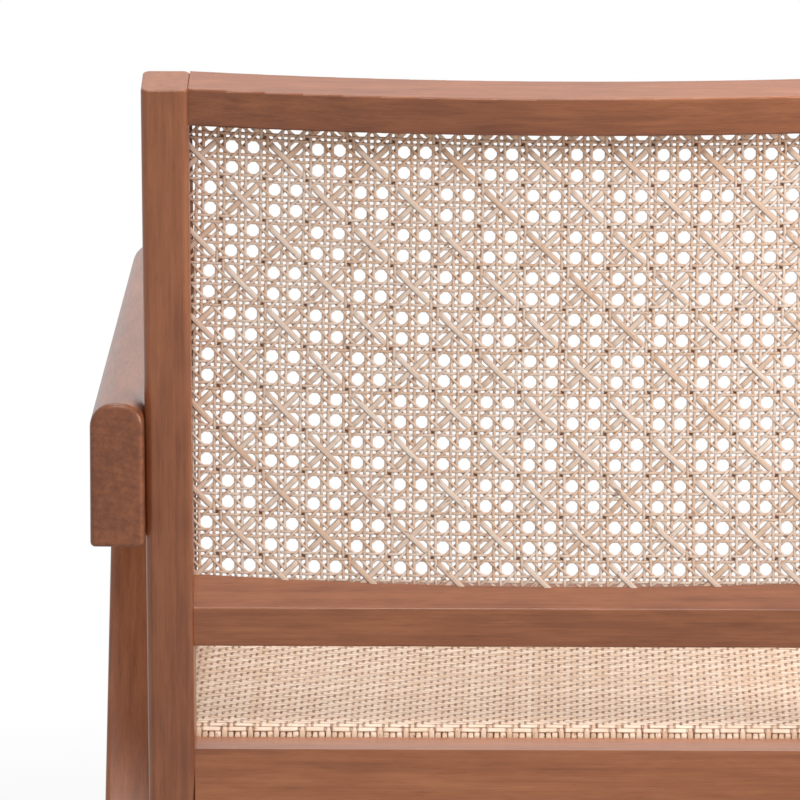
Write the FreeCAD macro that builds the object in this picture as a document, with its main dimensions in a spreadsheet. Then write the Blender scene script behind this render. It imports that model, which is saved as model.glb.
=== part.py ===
import FreeCAD, Part
import math
import os
import re

import Sketcher

# A wooden lounge armchair with a bowed open-cane back and a closely woven cane seat.
# X runs across the chair, Y to the rear, Z up. The origin is the bottom centre of its box.
# The datum is the rear top edge of the seat frame, on the rear faces of the back posts.

# Driving dimensions: name, size in millimetres or degrees, meaning
DIMENSIONS = (
    ("seat_rear_height", 352.0, "floor to the rear top edge of the seat frame"),
    ("recline", 9.3, "lean of the back from upright, degrees"),
    ("seat_slope", 2.0, "rise of the seat towards the front, degrees"),
    ("inner_width", 452.0, "clear width between the back posts"),
    ("post_width", 27.7, "back post across the chair"),
    ("post_depth", 38.3, "back post front to rear"),
    ("post_rise", 413.0, "post above the datum, along the back"),
    ("post_drop", 68.0, "post below the datum, along the back"),
    ("post_round", 4.5, "radius on the long edges of a post"),
    ("post_end_round", 1.5, "radius round the ends of a post"),
    ("post_notch_drop", 1.4, "top of the post's notch for the seat cane's corner, below the datum"),
    ("post_notch_height", 12.8, "that notch from top to bottom"),
    ("post_notch_depth", 5.0, "that notch from the post's front face"),
    ("rail_recess", 3.6, "back rails behind the rear faces of the posts"),
    ("rail_round", 2.0, "radius on the long edges of the rails"),
    ("top_rail_round", 1.3, "radius on the rear long edges of the top rail"),
    ("top_rail_height", 23.0, "top rail along the back"),
    ("top_rail_depth", 35.0, "top rail front to rear"),
    ("top_rail_bow", 18.0, "rearward bow of the top rail at its middle"),
    ("lower_rail_base", 65.1, "lower rail above the datum, along the back"),
    ("lower_rail_face", 24.2, "upright rear face of the lower rail"),
    ("lower_rail_depth", 26.0, "lower rail front to rear"),
    ("lower_rail_bevel", 18.0, "run and rise of the lower rail's rear bevel"),
    ("lower_lip_drop", 10.0, "lip in front of the cane, below the top of the bevel"),
    ("lower_bow", 5.7, "rearward bow of the cane at the lower rail"),
    ("cane_setback", 17.25, "middle of the cane behind the rails' rear faces"),
    ("cane_thickness", 1.4, "back cane sheet"),
    ("cane_tuck", 4.5, "depth of the cane's edge inside its groove"),
    ("cane_groove_width", 4.0, "groove in the rails for the back cane and its spline"),
    ("post_groove_width", 5.5, "groove in the posts, which the bowed cane enters at a slant"),
    ("cane_groove_depth", 5.0, "depth of that groove"),
    ("cane_pitch", 12.7, "distance from hole to hole in the cane"),
    ("cane_hole", 7.2, "diameter of an open hole in the cane"),
    ("spline_thickness", 1.7, "reed spline beside the back cane"),
    ("spline_proud", 1.5, "spline standing out of its groove"),
    ("fit_gap", 0.3, "clearance round cane and splines"),
    ("arm_thickness", 31.5, "arm board across the chair"),
    ("arm_height", 86.0, "arm board at its rear end"),
    ("arm_length", 585.0, "arm board front to rear"),
    ("arm_top", 571.0, "floor to the top of the arms"),
    ("arm_overhang", 21.0, "arm behind the rear face of its post"),
    ("arm_round", 14.0, "radius on the long top edges of an arm"),
    ("arm_lower_round", 3.0, "radius on the lower and front edges of an arm"),
    ("arm_end_round", 3.0, "radius round the rear end of an arm"),
    ("arm_nose_rise", 14.0, "rise of the arm's underside towards its front end"),
    ("arm_nose_round", 30.0, "radius on the lower front corner of an arm"),
    ("leg_thickness", 31.5, "leg board across the chair"),
    ("rear_leg_setback", 287.0, "rear leg's top in front of the arm's rear end"),
    ("rear_leg_root", 76.0, "rear leg along the underside of the arm"),
    ("rear_leg_angle", 32.0, "rear leg's rear edge from upright, degrees"),
    ("rear_foot_width", 50.0, "rear leg along the floor"),
    ("front_leg_root", 68.0, "front leg along the underside of the arm"),
    ("front_leg_angle", 20.0, "front leg's front edge from upright, degrees"),
    ("front_foot_width", 44.0, "front leg along the floor"),
    ("crotch_drop", 15.0, "joint between the legs below the arm"),
    ("leg_round", 3.0, "radius on the long edges of a leg"),
    ("seat_depth", 450.0, "datum to the front face of the seat frame"),
    ("seat_rail_height", 54.0, "seat rails from top to bottom"),
    ("side_rail_thickness", 27.7, "side seat rail across the chair"),
    ("rear_rail_inset", 5.0, "rear seat rail behind the posts' rear faces"),
    ("rear_rail_thickness", 38.0, "rear seat rail front to rear"),
    ("front_rail_thickness", 34.0, "front seat rail front to rear"),
    ("front_rail_round", 7.0, "radius on the front top edge of the seat frame"),
    ("seat_border_rear", 30.0, "bare wood behind the seat cane"),
    ("seat_border_side", 14.0, "bare wood beside the seat cane"),
    ("seat_border_front", 16.0, "bare wood in front of the seat cane"),
    ("seat_crown", 7.0, "seat cane above the seat frame"),
    ("seat_crown_run", 9.0, "slope of the seat cane at its edges"),
    ("seat_cane_thickness", 1.6, "seat cane sheet"),
    ("seat_groove_width", 6.0, "groove for the seat cane and its spline"),
    ("seat_groove_depth", 8.0, "depth of that groove"),
    ("seat_spline_height", 5.0, "reed spline in the seat groove"),
    ("seat_spline_thickness", 3.2, "reed spline in the seat groove"),
    ("brace_width", 46.0, "cross brace under the seat, front to rear"),
    ("brace_thickness", 20.0, "cross brace from top to bottom"),
    ("brace_drop", 20.0, "cross brace below the top of the seat frame"),
    ("brace_tenon", 9.0, "cross brace inside each side rail"),
    ("dowel_diameter", 8.0, "beech dowels"),
    ("dowel_length", 40.0, "beech dowels"),
    ("bolt_diameter", 6.0, "connector bolts"),
    ("bolt_length", 38.0, "connector bolt under its head"),
    ("bolt_head_diameter", 10.0, "connector bolt head"),
    ("bolt_head_height", 5.0, "connector bolt head"),
    ("bolt_socket", 4.0, "socket across the bolt head"),
    ("bolt_spacing", 26.0, "bolt to bolt where a leg meets the seat"),
    ("arm_bolt_spacing", 36.0, "bolt to bolt where an arm meets its post"),
    ("insert_diameter", 10.0, "threaded insert"),
    ("insert_length", 16.0, "threaded insert"),
    ("block_size", 40.0, "corner block along each rail"),
    ("block_height", 20.0, "corner block from top to bottom"),
    ("block_drop", 33.0, "corner block below the top of the seat frame"),
    ("screw_diameter", 4.0, "corner block screws"),
    ("screw_length", 36.0, "corner block screws"),
    ("screw_head_diameter", 8.0, "corner block screw head"),
    ("screw_head_height", 2.6, "corner block screw head"),
    ("glide_diameter", 22.0, "floor glides"),
    ("glide_height", 3.0, "floor glides"),
)

# Shares of the sizes that they follow
BLOCK_SCREW_SHARE = 0.42
RAIL_DOWEL_SHARES = (0.27, 0.73)
TOP_DOWEL_RISE_SHARE = 0.55
SEAT_DOWEL_SHARES = (0.25, 0.75)
REAR_DOWEL_DEPTH_SHARE = 0.3
ARM_BOLT_SHARE = 0.62
REAR_LEG_DOWEL_SHARES = (0.2, 0.55)
FRONT_LEG_DOWEL_SHARES = (0.3, 0.62)
REAR_LEG_PLACE_SHARE = 0.39
FRONT_LEG_PLACE_SHARE = 0.88
REAR_LEG_MIDDLE_SHARE = 0.72
FRONT_LEG_MIDDLE_SHARE = 0.9

# Fours of holes that the cane's closed edge takes the place of, across and along the back
CANE_CLOSED_GROUPS = 2

SMALL = 1e-4
NAMES = re.compile(r"\b(" + "|".join(name for name, size, meaning in DIMENSIONS) + r")\b")
AXES = {"X": FreeCAD.Vector(1, 0, 0), "Y": FreeCAD.Vector(0, 1, 0), "-X": FreeCAD.Vector(-1, 0, 0)}

document = FreeCAD.newDocument("armchair")
sheet = document.addObject("Spreadsheet::Sheet", "dim")
for row, (name, size, meaning) in enumerate(DIMENSIONS, 1):
    sheet.set("A%d" % row, meaning)
    sheet.set("B%d" % row, str(size))
    sheet.setAlias("B%d" % row, name)
document.recompute()

nodes = {}


def formula(text):
    """Point the dimension names in a formula at the sheet."""
    return NAMES.sub(r"dim.\1", text)


def value(text):
    """Work a formula out to a number."""
    return float(sheet.evalExpression(formula(text)))


def bind(item, prop, text):
    """Tie a property of an object to a formula."""
    item.setExpression(prop, formula(text))


# Places shared by several pieces, as formulas
OUTER = "(inner_width / 2 + post_width)"
RAIL_INNER = "(%s - side_rail_thickness)" % OUTER
REAR_REACH = "(post_rise * sin(recline) + (top_rail_bow - rail_recess) * cos(recline))"
ARM_BOTTOM = "(arm_top - arm_height)"
ARM_REAR = "((arm_top - arm_height / 2 - seat_rear_height) * tan(recline) + arm_overhang)"
REAR_LEG_BACK = "(%s - rear_leg_setback)" % ARM_REAR
LEG_JOINT = "(%s - rear_leg_root)" % REAR_LEG_BACK
FRONT_LEG_FRONT = "(%s - front_leg_root)" % LEG_JOINT
LEG_RISE = "(%s - glide_height)" % ARM_BOTTOM
REAR_FOOT = "(%s + %s * tan(rear_leg_angle))" % (REAR_LEG_BACK, LEG_RISE)
FRONT_FOOT = "(%s - %s * tan(front_leg_angle))" % (FRONT_LEG_FRONT, LEG_RISE)
SHIFT = "(-(%s + %s) / 2)" % (REAR_REACH, FRONT_FOOT)
CANE_LINE = "(-rail_recess - cane_setback)"
CANE_HALF = "(inner_width / 2 + cane_tuck - fit_gap)"
CANE_BACK = "(cane_thickness / 2 + fit_gap)"
LOWER_TOP = "(lower_rail_base + lower_rail_face + lower_rail_bevel)"
TOP_BASE = "(post_rise - top_rail_height)"
SEAT_TILT = "(recline - seat_slope)"
CANE_FRONT_EDGE = "(-seat_depth + seat_border_front)"
CANE_REAR_EDGE = "(-rear_rail_inset - seat_border_rear)"
CANE_SIDE_EDGE = "(%s - seat_border_side)" % OUTER
REAR_RAIL_FACE = "(-rear_rail_inset - rear_rail_thickness)"
FRONT_RAIL_FACE = "(-seat_depth + front_rail_thickness)"


def back_y(depth, rise):
    """Y of a point given by its depth and its rise along the reclined back."""
    return "(%s + (%s) * cos(recline) + (%s) * sin(recline))" % (SHIFT, depth, rise)


def back_z(depth, rise):
    """Z of a point of the reclined back."""
    return "(seat_rear_height - (%s) * sin(recline) + (%s) * cos(recline))" % (depth, rise)


def seat_y(depth, rise):
    """Y of a point given in the sloping seat frame."""
    return "(%s + (%s) * cos(seat_slope) + (%s) * sin(seat_slope))" % (SHIFT, depth, rise)


def seat_z(depth, rise):
    """Z of a point of the sloping seat frame."""
    return "(seat_rear_height - (%s) * sin(seat_slope) + (%s) * cos(seat_slope))" % (depth, rise)


def stand(item, frame):
    """Place an object in the upright, back or seat frame."""
    lean = {"upright": None, "back": "recline", "seat": "seat_slope"}[frame]
    if lean:
        item.Placement = FreeCAD.Placement(FreeCAD.Vector(), FreeCAD.Rotation(AXES["-X"], value(lean)))
        bind(item, "Placement.Rotation.Angle", lean)
        bind(item, "Placement.Base.z", "seat_rear_height")
    bind(item, "Placement.Base.y", SHIFT)


def node(item, name):
    """Name an object as one of the chair's pieces."""
    item.Label = name
    nodes[name] = item
    return item


def body(name, frame):
    """Start a piece as a body that stands in one of the frames."""
    item = document.addObject("PartDesign::Body", "body_" + name)
    stand(item, frame)
    return node(item, name)


def sketch(owner, plane, level="0"):
    """Lay a sketch on one of the body's own planes, raised to a level along the plane's normal."""
    item = owner.newObject("Sketcher::SketchObject", "sketch")
    support = [origin for origin in owner.Origin.OriginFeatures if origin.Role == plane + "_Plane"]
    item.AttachmentSupport = [(support[0], "")]
    item.MapMode = "FlatFace"
    bind(item, "AttachmentOffset.Base.z", level)
    return item


def pin_point(item, geometry, point, across, up):
    """Hold one point of a sketch at two formulas."""
    for kind, text in (("DistanceX", across), ("DistanceY", up)):
        held = item.addConstraint(Sketcher.Constraint(kind, -1, 1, geometry, point, value(text)))
        bind(item, "Constraints[%d]" % held, text)


def outline(owner, plane, corners, level="0"):
    """Draw a closed outline through corners that are pairs of formulas."""
    item = sketch(owner, plane, level)
    places = [FreeCAD.Vector(value(across), value(up), 0) for across, up in corners]
    count = len(places)
    for index in range(count):
        item.addGeometry(Part.LineSegment(places[index], places[(index + 1) % count]))
    for index in range(count):
        item.addConstraint(Sketcher.Constraint("Coincident", index, 2, (index + 1) % count, 1))
    for index, (across, up) in enumerate(corners):
        pin_point(item, index, 1, across, up)
    return item


def box_outline(owner, plane, low, high, level="0"):
    """Draw a rectangle between two corners."""
    corners = ((low[0], low[1]), (high[0], low[1]), (high[0], high[1]), (low[0], high[1]))
    return outline(owner, plane, corners, level)


def bowed_outline(owner, half, rear, front, bow, level="0"):
    """Draw a band between two bowed edges, whose ends lie at the depths rear and front."""
    item = sketch(owner, "XY", level)
    radius = "((%s)^2 + (%s)^2) / (2 * (%s))" % (half, bow, bow)
    centre = "(%s) + (%s) - (%s)" % (rear, bow, radius)
    radii = (radius, "(%s) - (%s) + (%s)" % (radius, rear, front))
    middle = FreeCAD.Vector(0, value(centre), 0)
    width = value(half)
    ends = []
    for text in radii:
        size = value(text)
        turn = math.acos(width / size)
        circle = Part.Circle(middle, FreeCAD.Vector(0, 0, 1), size)
        item.addGeometry(Part.ArcOfCircle(circle, turn, math.pi - turn))
        ends.append(middle.y + size * math.sin(turn))
    for side in (-width, width):
        corners = [FreeCAD.Vector(side, place, 0) for place in ends]
        item.addGeometry(Part.LineSegment(*corners))
    joined = ((0, 2, 2, 1), (2, 2, 1, 2), (1, 1, 3, 2), (3, 1, 0, 1), (0, 3, 1, 3))
    for first, start, second, end in joined:
        item.addConstraint(Sketcher.Constraint("Coincident", first, start, second, end))
    for line in (2, 3):
        item.addConstraint(Sketcher.Constraint("Vertical", line))
    pin_point(item, 0, 3, "0", centre)
    for arc, text in enumerate(radii):
        held = item.addConstraint(Sketcher.Constraint("Radius", arc, value(text)))
        bind(item, "Constraints[%d]" % held, text)
    held = item.addConstraint(Sketcher.Constraint("DistanceX", -1, 1, 0, 1, width))
    bind(item, "Constraints[%d]" % held, half)
    held = item.addConstraint(Sketcher.Constraint("DistanceX", 0, 2, -1, 1, width))
    bind(item, "Constraints[%d]" % held, half)
    return item


def cane_band(owner, half, rear, front, bow, level):
    """Draw a band that follows the back cane's bow, between two depths behind its middle."""
    radius = "((%s^2 + %s^2) / (2 * %s))" % (CANE_HALF, bow, bow)
    kept = "(%s - sqrt(%s^2 - (%s)^2))" % (radius, radius, half)
    ends = "(%s + %s - %s)" % (CANE_LINE, bow, kept)
    return bowed_outline(owner, half, ends + rear, ends + front, kept, level)


def discs(owner, plane, centres, diameter, level="0"):
    """Draw circles of one diameter at pairs of formulas."""
    item = sketch(owner, plane, level)
    for index, (across, up) in enumerate(centres):
        centre = FreeCAD.Vector(value(across), value(up), 0)
        item.addGeometry(Part.Circle(centre, FreeCAD.Vector(0, 0, 1), value(diameter) / 2))
        held = item.addConstraint(Sketcher.Constraint("Diameter", index, value(diameter)))
        bind(item, "Constraints[%d]" % held, diameter)
        pin_point(item, index, 3, across, up)
    return item


def pad(owner, profile, length, middle=False, backwards=False):
    """Raise a sketch into a solid."""
    item = owner.newObject("PartDesign::Pad", "pad")
    item.Profile = profile
    item.Midplane = middle
    item.Reversed = backwards
    bind(item, "Length", length)
    owner.Tip = item
    document.recompute()
    return item


def pocket(owner, profile, depth, forwards=False):
    """Sink a sketch into the solid, against the plane's normal or along it."""
    before = owner.Tip.Shape.Volume
    item = owner.newObject("PartDesign::Pocket", "pocket")
    item.Profile = profile
    item.Reversed = forwards
    bind(item, "Length", depth)
    owner.Tip = item
    document.recompute()
    if not item.Shape.Volume < before:
        raise RuntimeError("a pocket of %s cuts nothing" % owner.Label)
    return item


def soften(owner, radius, chosen):
    """Round the edges of a body that a test on an edge picks out."""
    base = owner.Tip
    names = ["Edge%d" % (index + 1) for index, edge in enumerate(base.Shape.Edges) if chosen(edge)]
    item = owner.newObject("PartDesign::Fillet", "fillet")
    item.Base = (base, names)
    bind(item, "Radius", radius)
    owner.Tip = item
    document.recompute()
    return item


def runs_along(edge, axis):
    """Tell whether an edge is straight and lies along an axis of its body."""
    if edge.Curve.TypeId != "Part::GeomLine":
        return False
    return abs(abs(edge.Curve.Direction.dot(axis)) - 1) < SMALL


def lies_at(edge, axis, place):
    """Tell whether an edge lies wholly at one place along an axis of its body."""
    box = edge.BoundBox
    low, high = {"X": (box.XMin, box.XMax), "Y": (box.YMin, box.YMax), "Z": (box.ZMin, box.ZMax)}[axis]
    return abs(low - place) < SMALL and abs(high - place) < SMALL


def mirror(source, name):
    """Make the piece on the chair's other side."""
    item = document.addObject("Part::Mirroring", "mirror_" + name)
    item.Source = source
    item.Normal = AXES["X"]
    return node(item, name)


def cylinder(name, diameter, length, place, turn_axis="X", turn="0"):
    """Make one round piece, whose axis is Z turned about an axis."""
    item = document.addObject("Part::Cylinder", name)
    bind(item, "Radius", "(%s) / 2" % diameter)
    bind(item, "Height", length)
    turned = FreeCAD.Rotation(AXES[turn_axis], value(turn))
    item.Placement = FreeCAD.Placement(FreeCAD.Vector(), turned)
    if value(turn):
        bind(item, "Placement.Rotation.Angle", turn)
    for axis, text in zip("xyz", place):
        bind(item, "Placement.Base." + axis, text)
    return item


def group(name, members):
    """Gather like pieces in one node as separate solids."""
    item = document.addObject("Part::Compound", "group_" + name)
    item.Links = members
    return node(item, name)


def both_sides(name, members):
    """Gather pieces of the left side with their mirror images in one node."""
    right = []
    for index, member in enumerate(members):
        item = document.addObject("Part::Mirroring", "%s_right_%d" % (name, index))
        item.Source = member
        item.Normal = AXES["X"]
        right.append(item)
    return group(name, members + right)


def dowels_across(name, places, inner):
    """Dowels along X, half in the piece inside the X of inner and half outside it."""
    members = []
    start = "(%s) - dowel_length / 2" % inner
    for index, (y_text, z_text) in enumerate(places):
        title = "%s_%d" % (name, index)
        place = (start, y_text, z_text)
        members.append(cylinder(title, "dowel_diameter", "dowel_length", place, "Y", "90"))
    return members


# Places of the joints, as formulas
TOP_DOWEL_RISE = "(%s + top_rail_height * %s)" % (TOP_BASE, TOP_DOWEL_RISE_SHARE)
TOP_DOWELS = [("(-rail_recess - %s * top_rail_depth)" % share, TOP_DOWEL_RISE)
              for share in RAIL_DOWEL_SHARES]
LOWER_DOWEL_RISE = "(lower_rail_base + lower_rail_face / 2)"
LOWER_DOWELS = [("(-rail_recess - %s * lower_rail_depth)" % share, LOWER_DOWEL_RISE)
                for share in RAIL_DOWEL_SHARES]
REAR_DOWEL_DEPTH = "(-rear_rail_inset - rear_rail_thickness * %s)" % REAR_DOWEL_DEPTH_SHARE
REAR_DOWELS = [(REAR_DOWEL_DEPTH, "(-seat_rail_height * %s)" % share) for share in SEAT_DOWEL_SHARES]
FRONT_DOWEL_DEPTH = "(-seat_depth + front_rail_thickness / 2)"
FRONT_DOWELS = [(FRONT_DOWEL_DEPTH, "(-seat_rail_height * %s)" % share) for share in SEAT_DOWEL_SHARES]
POST_FRONT = "(-post_depth / cos(%s))" % SEAT_TILT
ARM_BOLT_RISE = "((%s + arm_height / 2 - seat_rear_height) / cos(recline))" % ARM_BOTTOM
ARM_BOLT_DEPTH = "(-post_depth + bolt_head_diameter * %s)" % ARM_BOLT_SHARE
ARM_BOLTS = [(ARM_BOLT_DEPTH, "(%s %s arm_bolt_spacing / 2)" % (ARM_BOLT_RISE, sign)) for sign in "-+"]


def leg_centre(front):
    """Y and Z, in the upright frame, of the middle of a leg where it crosses the side rail."""
    share = FRONT_LEG_PLACE_SHARE if front else REAR_LEG_PLACE_SHARE
    climb = "(seat_depth * %s * tan(seat_slope))" % share
    rise = "(seat_rear_height - seat_rail_height / 2 + %s)" % climb
    drop = "(%s - %s)" % (ARM_BOTTOM, rise)
    if front:
        edge = "(%s - %s * tan(front_leg_angle))" % (FRONT_LEG_FRONT, drop)
        return "(%s + front_foot_width * %s)" % (edge, FRONT_LEG_MIDDLE_SHARE), rise
    edge = "(%s + %s * tan(rear_leg_angle))" % (REAR_LEG_BACK, drop)
    return "(%s - rear_foot_width * %s)" % (edge, REAR_LEG_MIDDLE_SHARE), rise


def leg_bolt_places(front):
    """Y and Z of the two bolts of a leg, side by side along the side rail."""
    y_text, z_text = leg_centre(front)
    return [("(%s %s bolt_spacing / 2)" % (y_text, sign), z_text) for sign in "-+"]


def to_seat(y_text, z_text):
    """A point of the upright frame, in the seat frame's depth and rise."""
    height = "(%s - seat_rear_height)" % z_text
    depth = "((%s) * cos(seat_slope) - %s * sin(seat_slope))" % (y_text, height)
    rise = "((%s) * sin(seat_slope) + %s * cos(seat_slope))" % (y_text, height)
    return depth, rise


LEG_BOLTS = leg_bolt_places(False) + leg_bolt_places(True)
REAR_LEG_DOWELS = ["(%s - rear_leg_root * %s)" % (REAR_LEG_BACK, share)
                   for share in REAR_LEG_DOWEL_SHARES]
FRONT_LEG_DOWELS = ["(%s + front_leg_root * %s)" % (FRONT_LEG_FRONT, share)
                    for share in FRONT_LEG_DOWEL_SHARES]

# The side screw of a corner block runs along X, the cross screw runs along the depth of the seat
BLOCK_ENDS = (("rear", REAR_RAIL_FACE, "-"), ("front", FRONT_RAIL_FACE, "+"))
SCREW_NEAR = "(block_size * %s)" % BLOCK_SCREW_SHARE
SCREW_DEEP = "(block_size - %s)" % SCREW_NEAR
SCREW_PILOT = "(screw_length - %s)" % SCREW_DEEP
SIDE_SCREW_RISE = "(-block_drop - block_height / 2 + screw_head_diameter / 2)"
CROSS_SCREW_RISE = "(-block_drop - block_height / 2 - screw_head_diameter / 2)"
SIDE_SCREWS = [("(%s %s %s)" % (face, sign, SCREW_NEAR), SIDE_SCREW_RISE) for end, face, sign in BLOCK_ENDS]


def make_post():
    """Back post, with its cane groove, a notch for the seat cane and the holes for dowels and bolts."""
    post = body("left_back_post", "back")
    base = box_outline(post, "XY", ("inner_width / 2", "-post_depth"), (OUTER, "0"), "-post_drop")
    pad(post, base, "post_rise + post_drop")
    up = FreeCAD.Vector(0, 0, 1)
    soften(post, "post_round", lambda edge: runs_along(edge, up))
    top = value("post_rise")
    soften(post, "post_end_round", lambda edge: lies_at(edge, "Z", top))
    inner = "inner_width / 2"
    front = "(%s + %s - cane_groove_width)" % (CANE_LINE, CANE_BACK)
    low = (inner + " - fit_gap", front)
    high = (inner + " + cane_groove_depth", front + " + post_groove_width")
    groove = box_outline(post, "XY", low, high, TOP_BASE + " + cane_groove_depth")
    pocket(post, groove, "%s - lower_rail_base - lower_rail_face + 2 * cane_groove_depth" % TOP_BASE)
    low = (inner + " - fit_gap", "-post_depth - fit_gap")
    high = (CANE_SIDE_EDGE + " + fit_gap", "-post_depth + post_notch_depth")
    pocket(post, box_outline(post, "XY", low, high, "-post_notch_drop"), "post_notch_height")
    tilt = SEAT_TILT
    rear_dowels = [("((%s) * cos%s - (%s) * sin%s)" % (y, tilt, z, tilt),
                    "((%s) * sin%s + (%s) * cos%s)" % (y, tilt, z, tilt)) for y, z in REAR_DOWELS]
    for places in (TOP_DOWELS + LOWER_DOWELS, rear_dowels):
        pocket(post, discs(post, "YZ", places, "dowel_diameter", inner), "dowel_length / 2", True)
    pocket(post, discs(post, "YZ", ARM_BOLTS, "bolt_diameter", inner), "post_width", True)
    pocket(post, discs(post, "YZ", ARM_BOLTS, "bolt_head_diameter", inner), "bolt_head_height", True)
    mirror(post, "right_back_post")


def make_top_rail():
    """Bowed top rail, with the cane groove along its underside."""
    rail = body("back_top_rail", "back")
    band = bowed_outline(rail, "inner_width / 2", "-rail_recess", "-rail_recess - top_rail_depth",
                         "top_rail_bow", TOP_BASE)
    pad(rail, band, "top_rail_height")
    middle = value("-rail_recess - top_rail_depth / 2")

    def bowed_edge(edge, rear):
        return edge.Curve.TypeId == "Part::GeomCircle" and (edge.BoundBox.YMin > middle) == rear

    soften(rail, "top_rail_round", lambda edge: bowed_edge(edge, True))
    soften(rail, "rail_round", lambda edge: bowed_edge(edge, False))
    groove = cane_band(rail, "inner_width / 2", " + " + CANE_BACK,
                       " + %s - cane_groove_width" % CANE_BACK, "top_rail_bow", TOP_BASE)
    pocket(rail, groove, "cane_groove_depth", True)
    for level, forwards in (("inner_width / 2", False), ("-inner_width / 2", True)):
        pocket(rail, discs(rail, "YZ", TOP_DOWELS, "dowel_diameter", level), "dowel_length / 2", forwards)


def make_lower_rail():
    """Lower back rail, bevelled up to the cane at the rear, with the cane groove and a lower lip before it."""
    rail = body("back_lower_rail", "back")
    front = "-rail_recess - lower_rail_depth"
    corners = (("-rail_recess", "lower_rail_base"), ("-rail_recess", "lower_rail_base + lower_rail_face"),
               ("-rail_recess - lower_rail_bevel", LOWER_TOP), (front, LOWER_TOP), (front, "lower_rail_base"))
    pad(rail, outline(rail, "YZ", corners), "inner_width", middle=True)
    across = AXES["X"]
    soften(rail, "rail_round", lambda edge: runs_along(edge, across))
    groove = cane_band(rail, "inner_width / 2", " + " + CANE_BACK,
                       " + %s - cane_groove_width" % CANE_BACK, "lower_bow", LOWER_TOP)
    pocket(rail, groove, "lower_rail_bevel - lower_bow / 2")
    before = cane_band(rail, "inner_width / 2", " + " + CANE_BACK,
                       " + %s - lower_rail_depth" % CANE_BACK, "lower_bow", LOWER_TOP)
    pocket(rail, before, "lower_lip_drop")
    for level, forwards in (("inner_width / 2", False), ("-inner_width / 2", True)):
        pocket(rail, discs(rail, "YZ", LOWER_DOWELS, "dowel_diameter", level), "dowel_length / 2", forwards)


def bowed_wire(half, depth, thickness, bow, level):
    """Closed wire round the edge of a bowed sheet, cut at one level of the back."""
    radius = (half * half + bow * bow) / (2 * bow)
    middle = depth + bow - radius
    turn = math.acos(half / radius)
    edges = []
    tips = []
    for size in (radius + thickness / 2, radius - thickness / 2):
        angles = (turn, math.pi / 2, math.pi - turn)
        points = [FreeCAD.Vector(size * math.cos(a), middle + size * math.sin(a), level) for a in angles]
        edges.append(Part.Arc(*points).toShape())
        tips.append((points[0], points[2]))
    right = Part.LineSegment(tips[1][0], tips[0][0]).toShape()
    left = Part.LineSegment(tips[0][1], tips[1][1]).toShape()
    return Part.Wire([edges[0], left, edges[1], right])


def cane_hole_places(width, height, pitch):
    """Across and rise, from the sheet's middle, of the open holes: fours of holes in a chequer."""
    columns = int(width / (2 * pitch)) - CANE_CLOSED_GROUPS
    rows = int(height / (2 * pitch)) - CANE_CLOSED_GROUPS
    places = []
    for column in range(columns):
        for line in range(rows):
            if (column + line) % 2:
                continue
            across = (2 * column - columns + 1) * pitch
            rise = (2 * line - rows + 1) * pitch
            for dx in (-pitch / 2, pitch / 2):
                places.extend((across + dx, rise + dz) for dz in (-pitch / 2, pitch / 2))
    return places


def make_back_cane():
    """Open cane sheet of the back: bowed more at its top than at its bottom, one face full of holes."""
    half = value(CANE_HALF)
    depth = value(CANE_LINE)
    thickness = value("cane_thickness")
    low = value("lower_rail_base + lower_rail_face + lower_bow + fit_gap")
    high = value(TOP_BASE + " + cane_tuck")
    sheet_wires = [bowed_wire(half, depth, thickness, value(bow), level)
                   for bow, level in (("lower_bow", low), ("top_rail_bow", high))]
    solid = Part.makeLoft(sheet_wires, True, True)
    pitch = value("cane_pitch")
    open_low = value(LOWER_TOP)
    open_high = value(TOP_BASE)
    centre = (open_low + open_high) / 2
    reach = value("top_rail_bow + cane_thickness") * 2
    drills = []
    for across, rise in cane_hole_places(value("inner_width"), open_high - open_low, pitch):
        start = FreeCAD.Vector(across, depth - reach, centre + rise)
        drills.append(Part.makeCylinder(value("cane_hole / 2"), 2 * reach, start, AXES["Y"]))
    solid = solid.cut(Part.makeCompound(drills))
    print("cane holes:", len(drills), "volume", round(solid.Volume))
    item = document.addObject("Part::Feature", "sheet_back_cane")
    item.Shape = solid.Solids[0]
    stand(item, "back")
    node(item, "back_cane")


def make_back_splines():
    """Reed splines pressed into the grooves in front of the back cane."""
    near = " - " + CANE_BACK
    far = "%s - spline_thickness" % near
    side = body("left_back_spline", "back")
    low = "(%s - lower_lip_drop + spline_proud + fit_gap)" % LOWER_TOP
    high = "(%s - spline_proud - fit_gap)" % TOP_BASE
    profile = box_outline(side, "XY", ("inner_width / 2 - spline_proud", CANE_LINE + far),
                          ("inner_width / 2 + cane_groove_depth - fit_gap", CANE_LINE + near), low)
    pad(side, profile, "%s - %s" % (high, low))
    mirror(side, "right_back_spline")
    top = body("top_back_spline", "back")
    level = "(%s - spline_proud)" % TOP_BASE
    profile = cane_band(top, "inner_width / 2 - fit_gap", near, far, "top_rail_bow", level)
    pad(top, profile, "spline_proud + cane_groove_depth - fit_gap")
    bottom = body("lower_back_spline", "back")
    level = "(%s - lower_lip_drop + spline_proud)" % LOWER_TOP
    profile = cane_band(bottom, "inner_width / 2 - fit_gap", near, far, "lower_bow", level)
    pad(bottom, profile, "spline_proud + cane_groove_depth", backwards=True)


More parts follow.
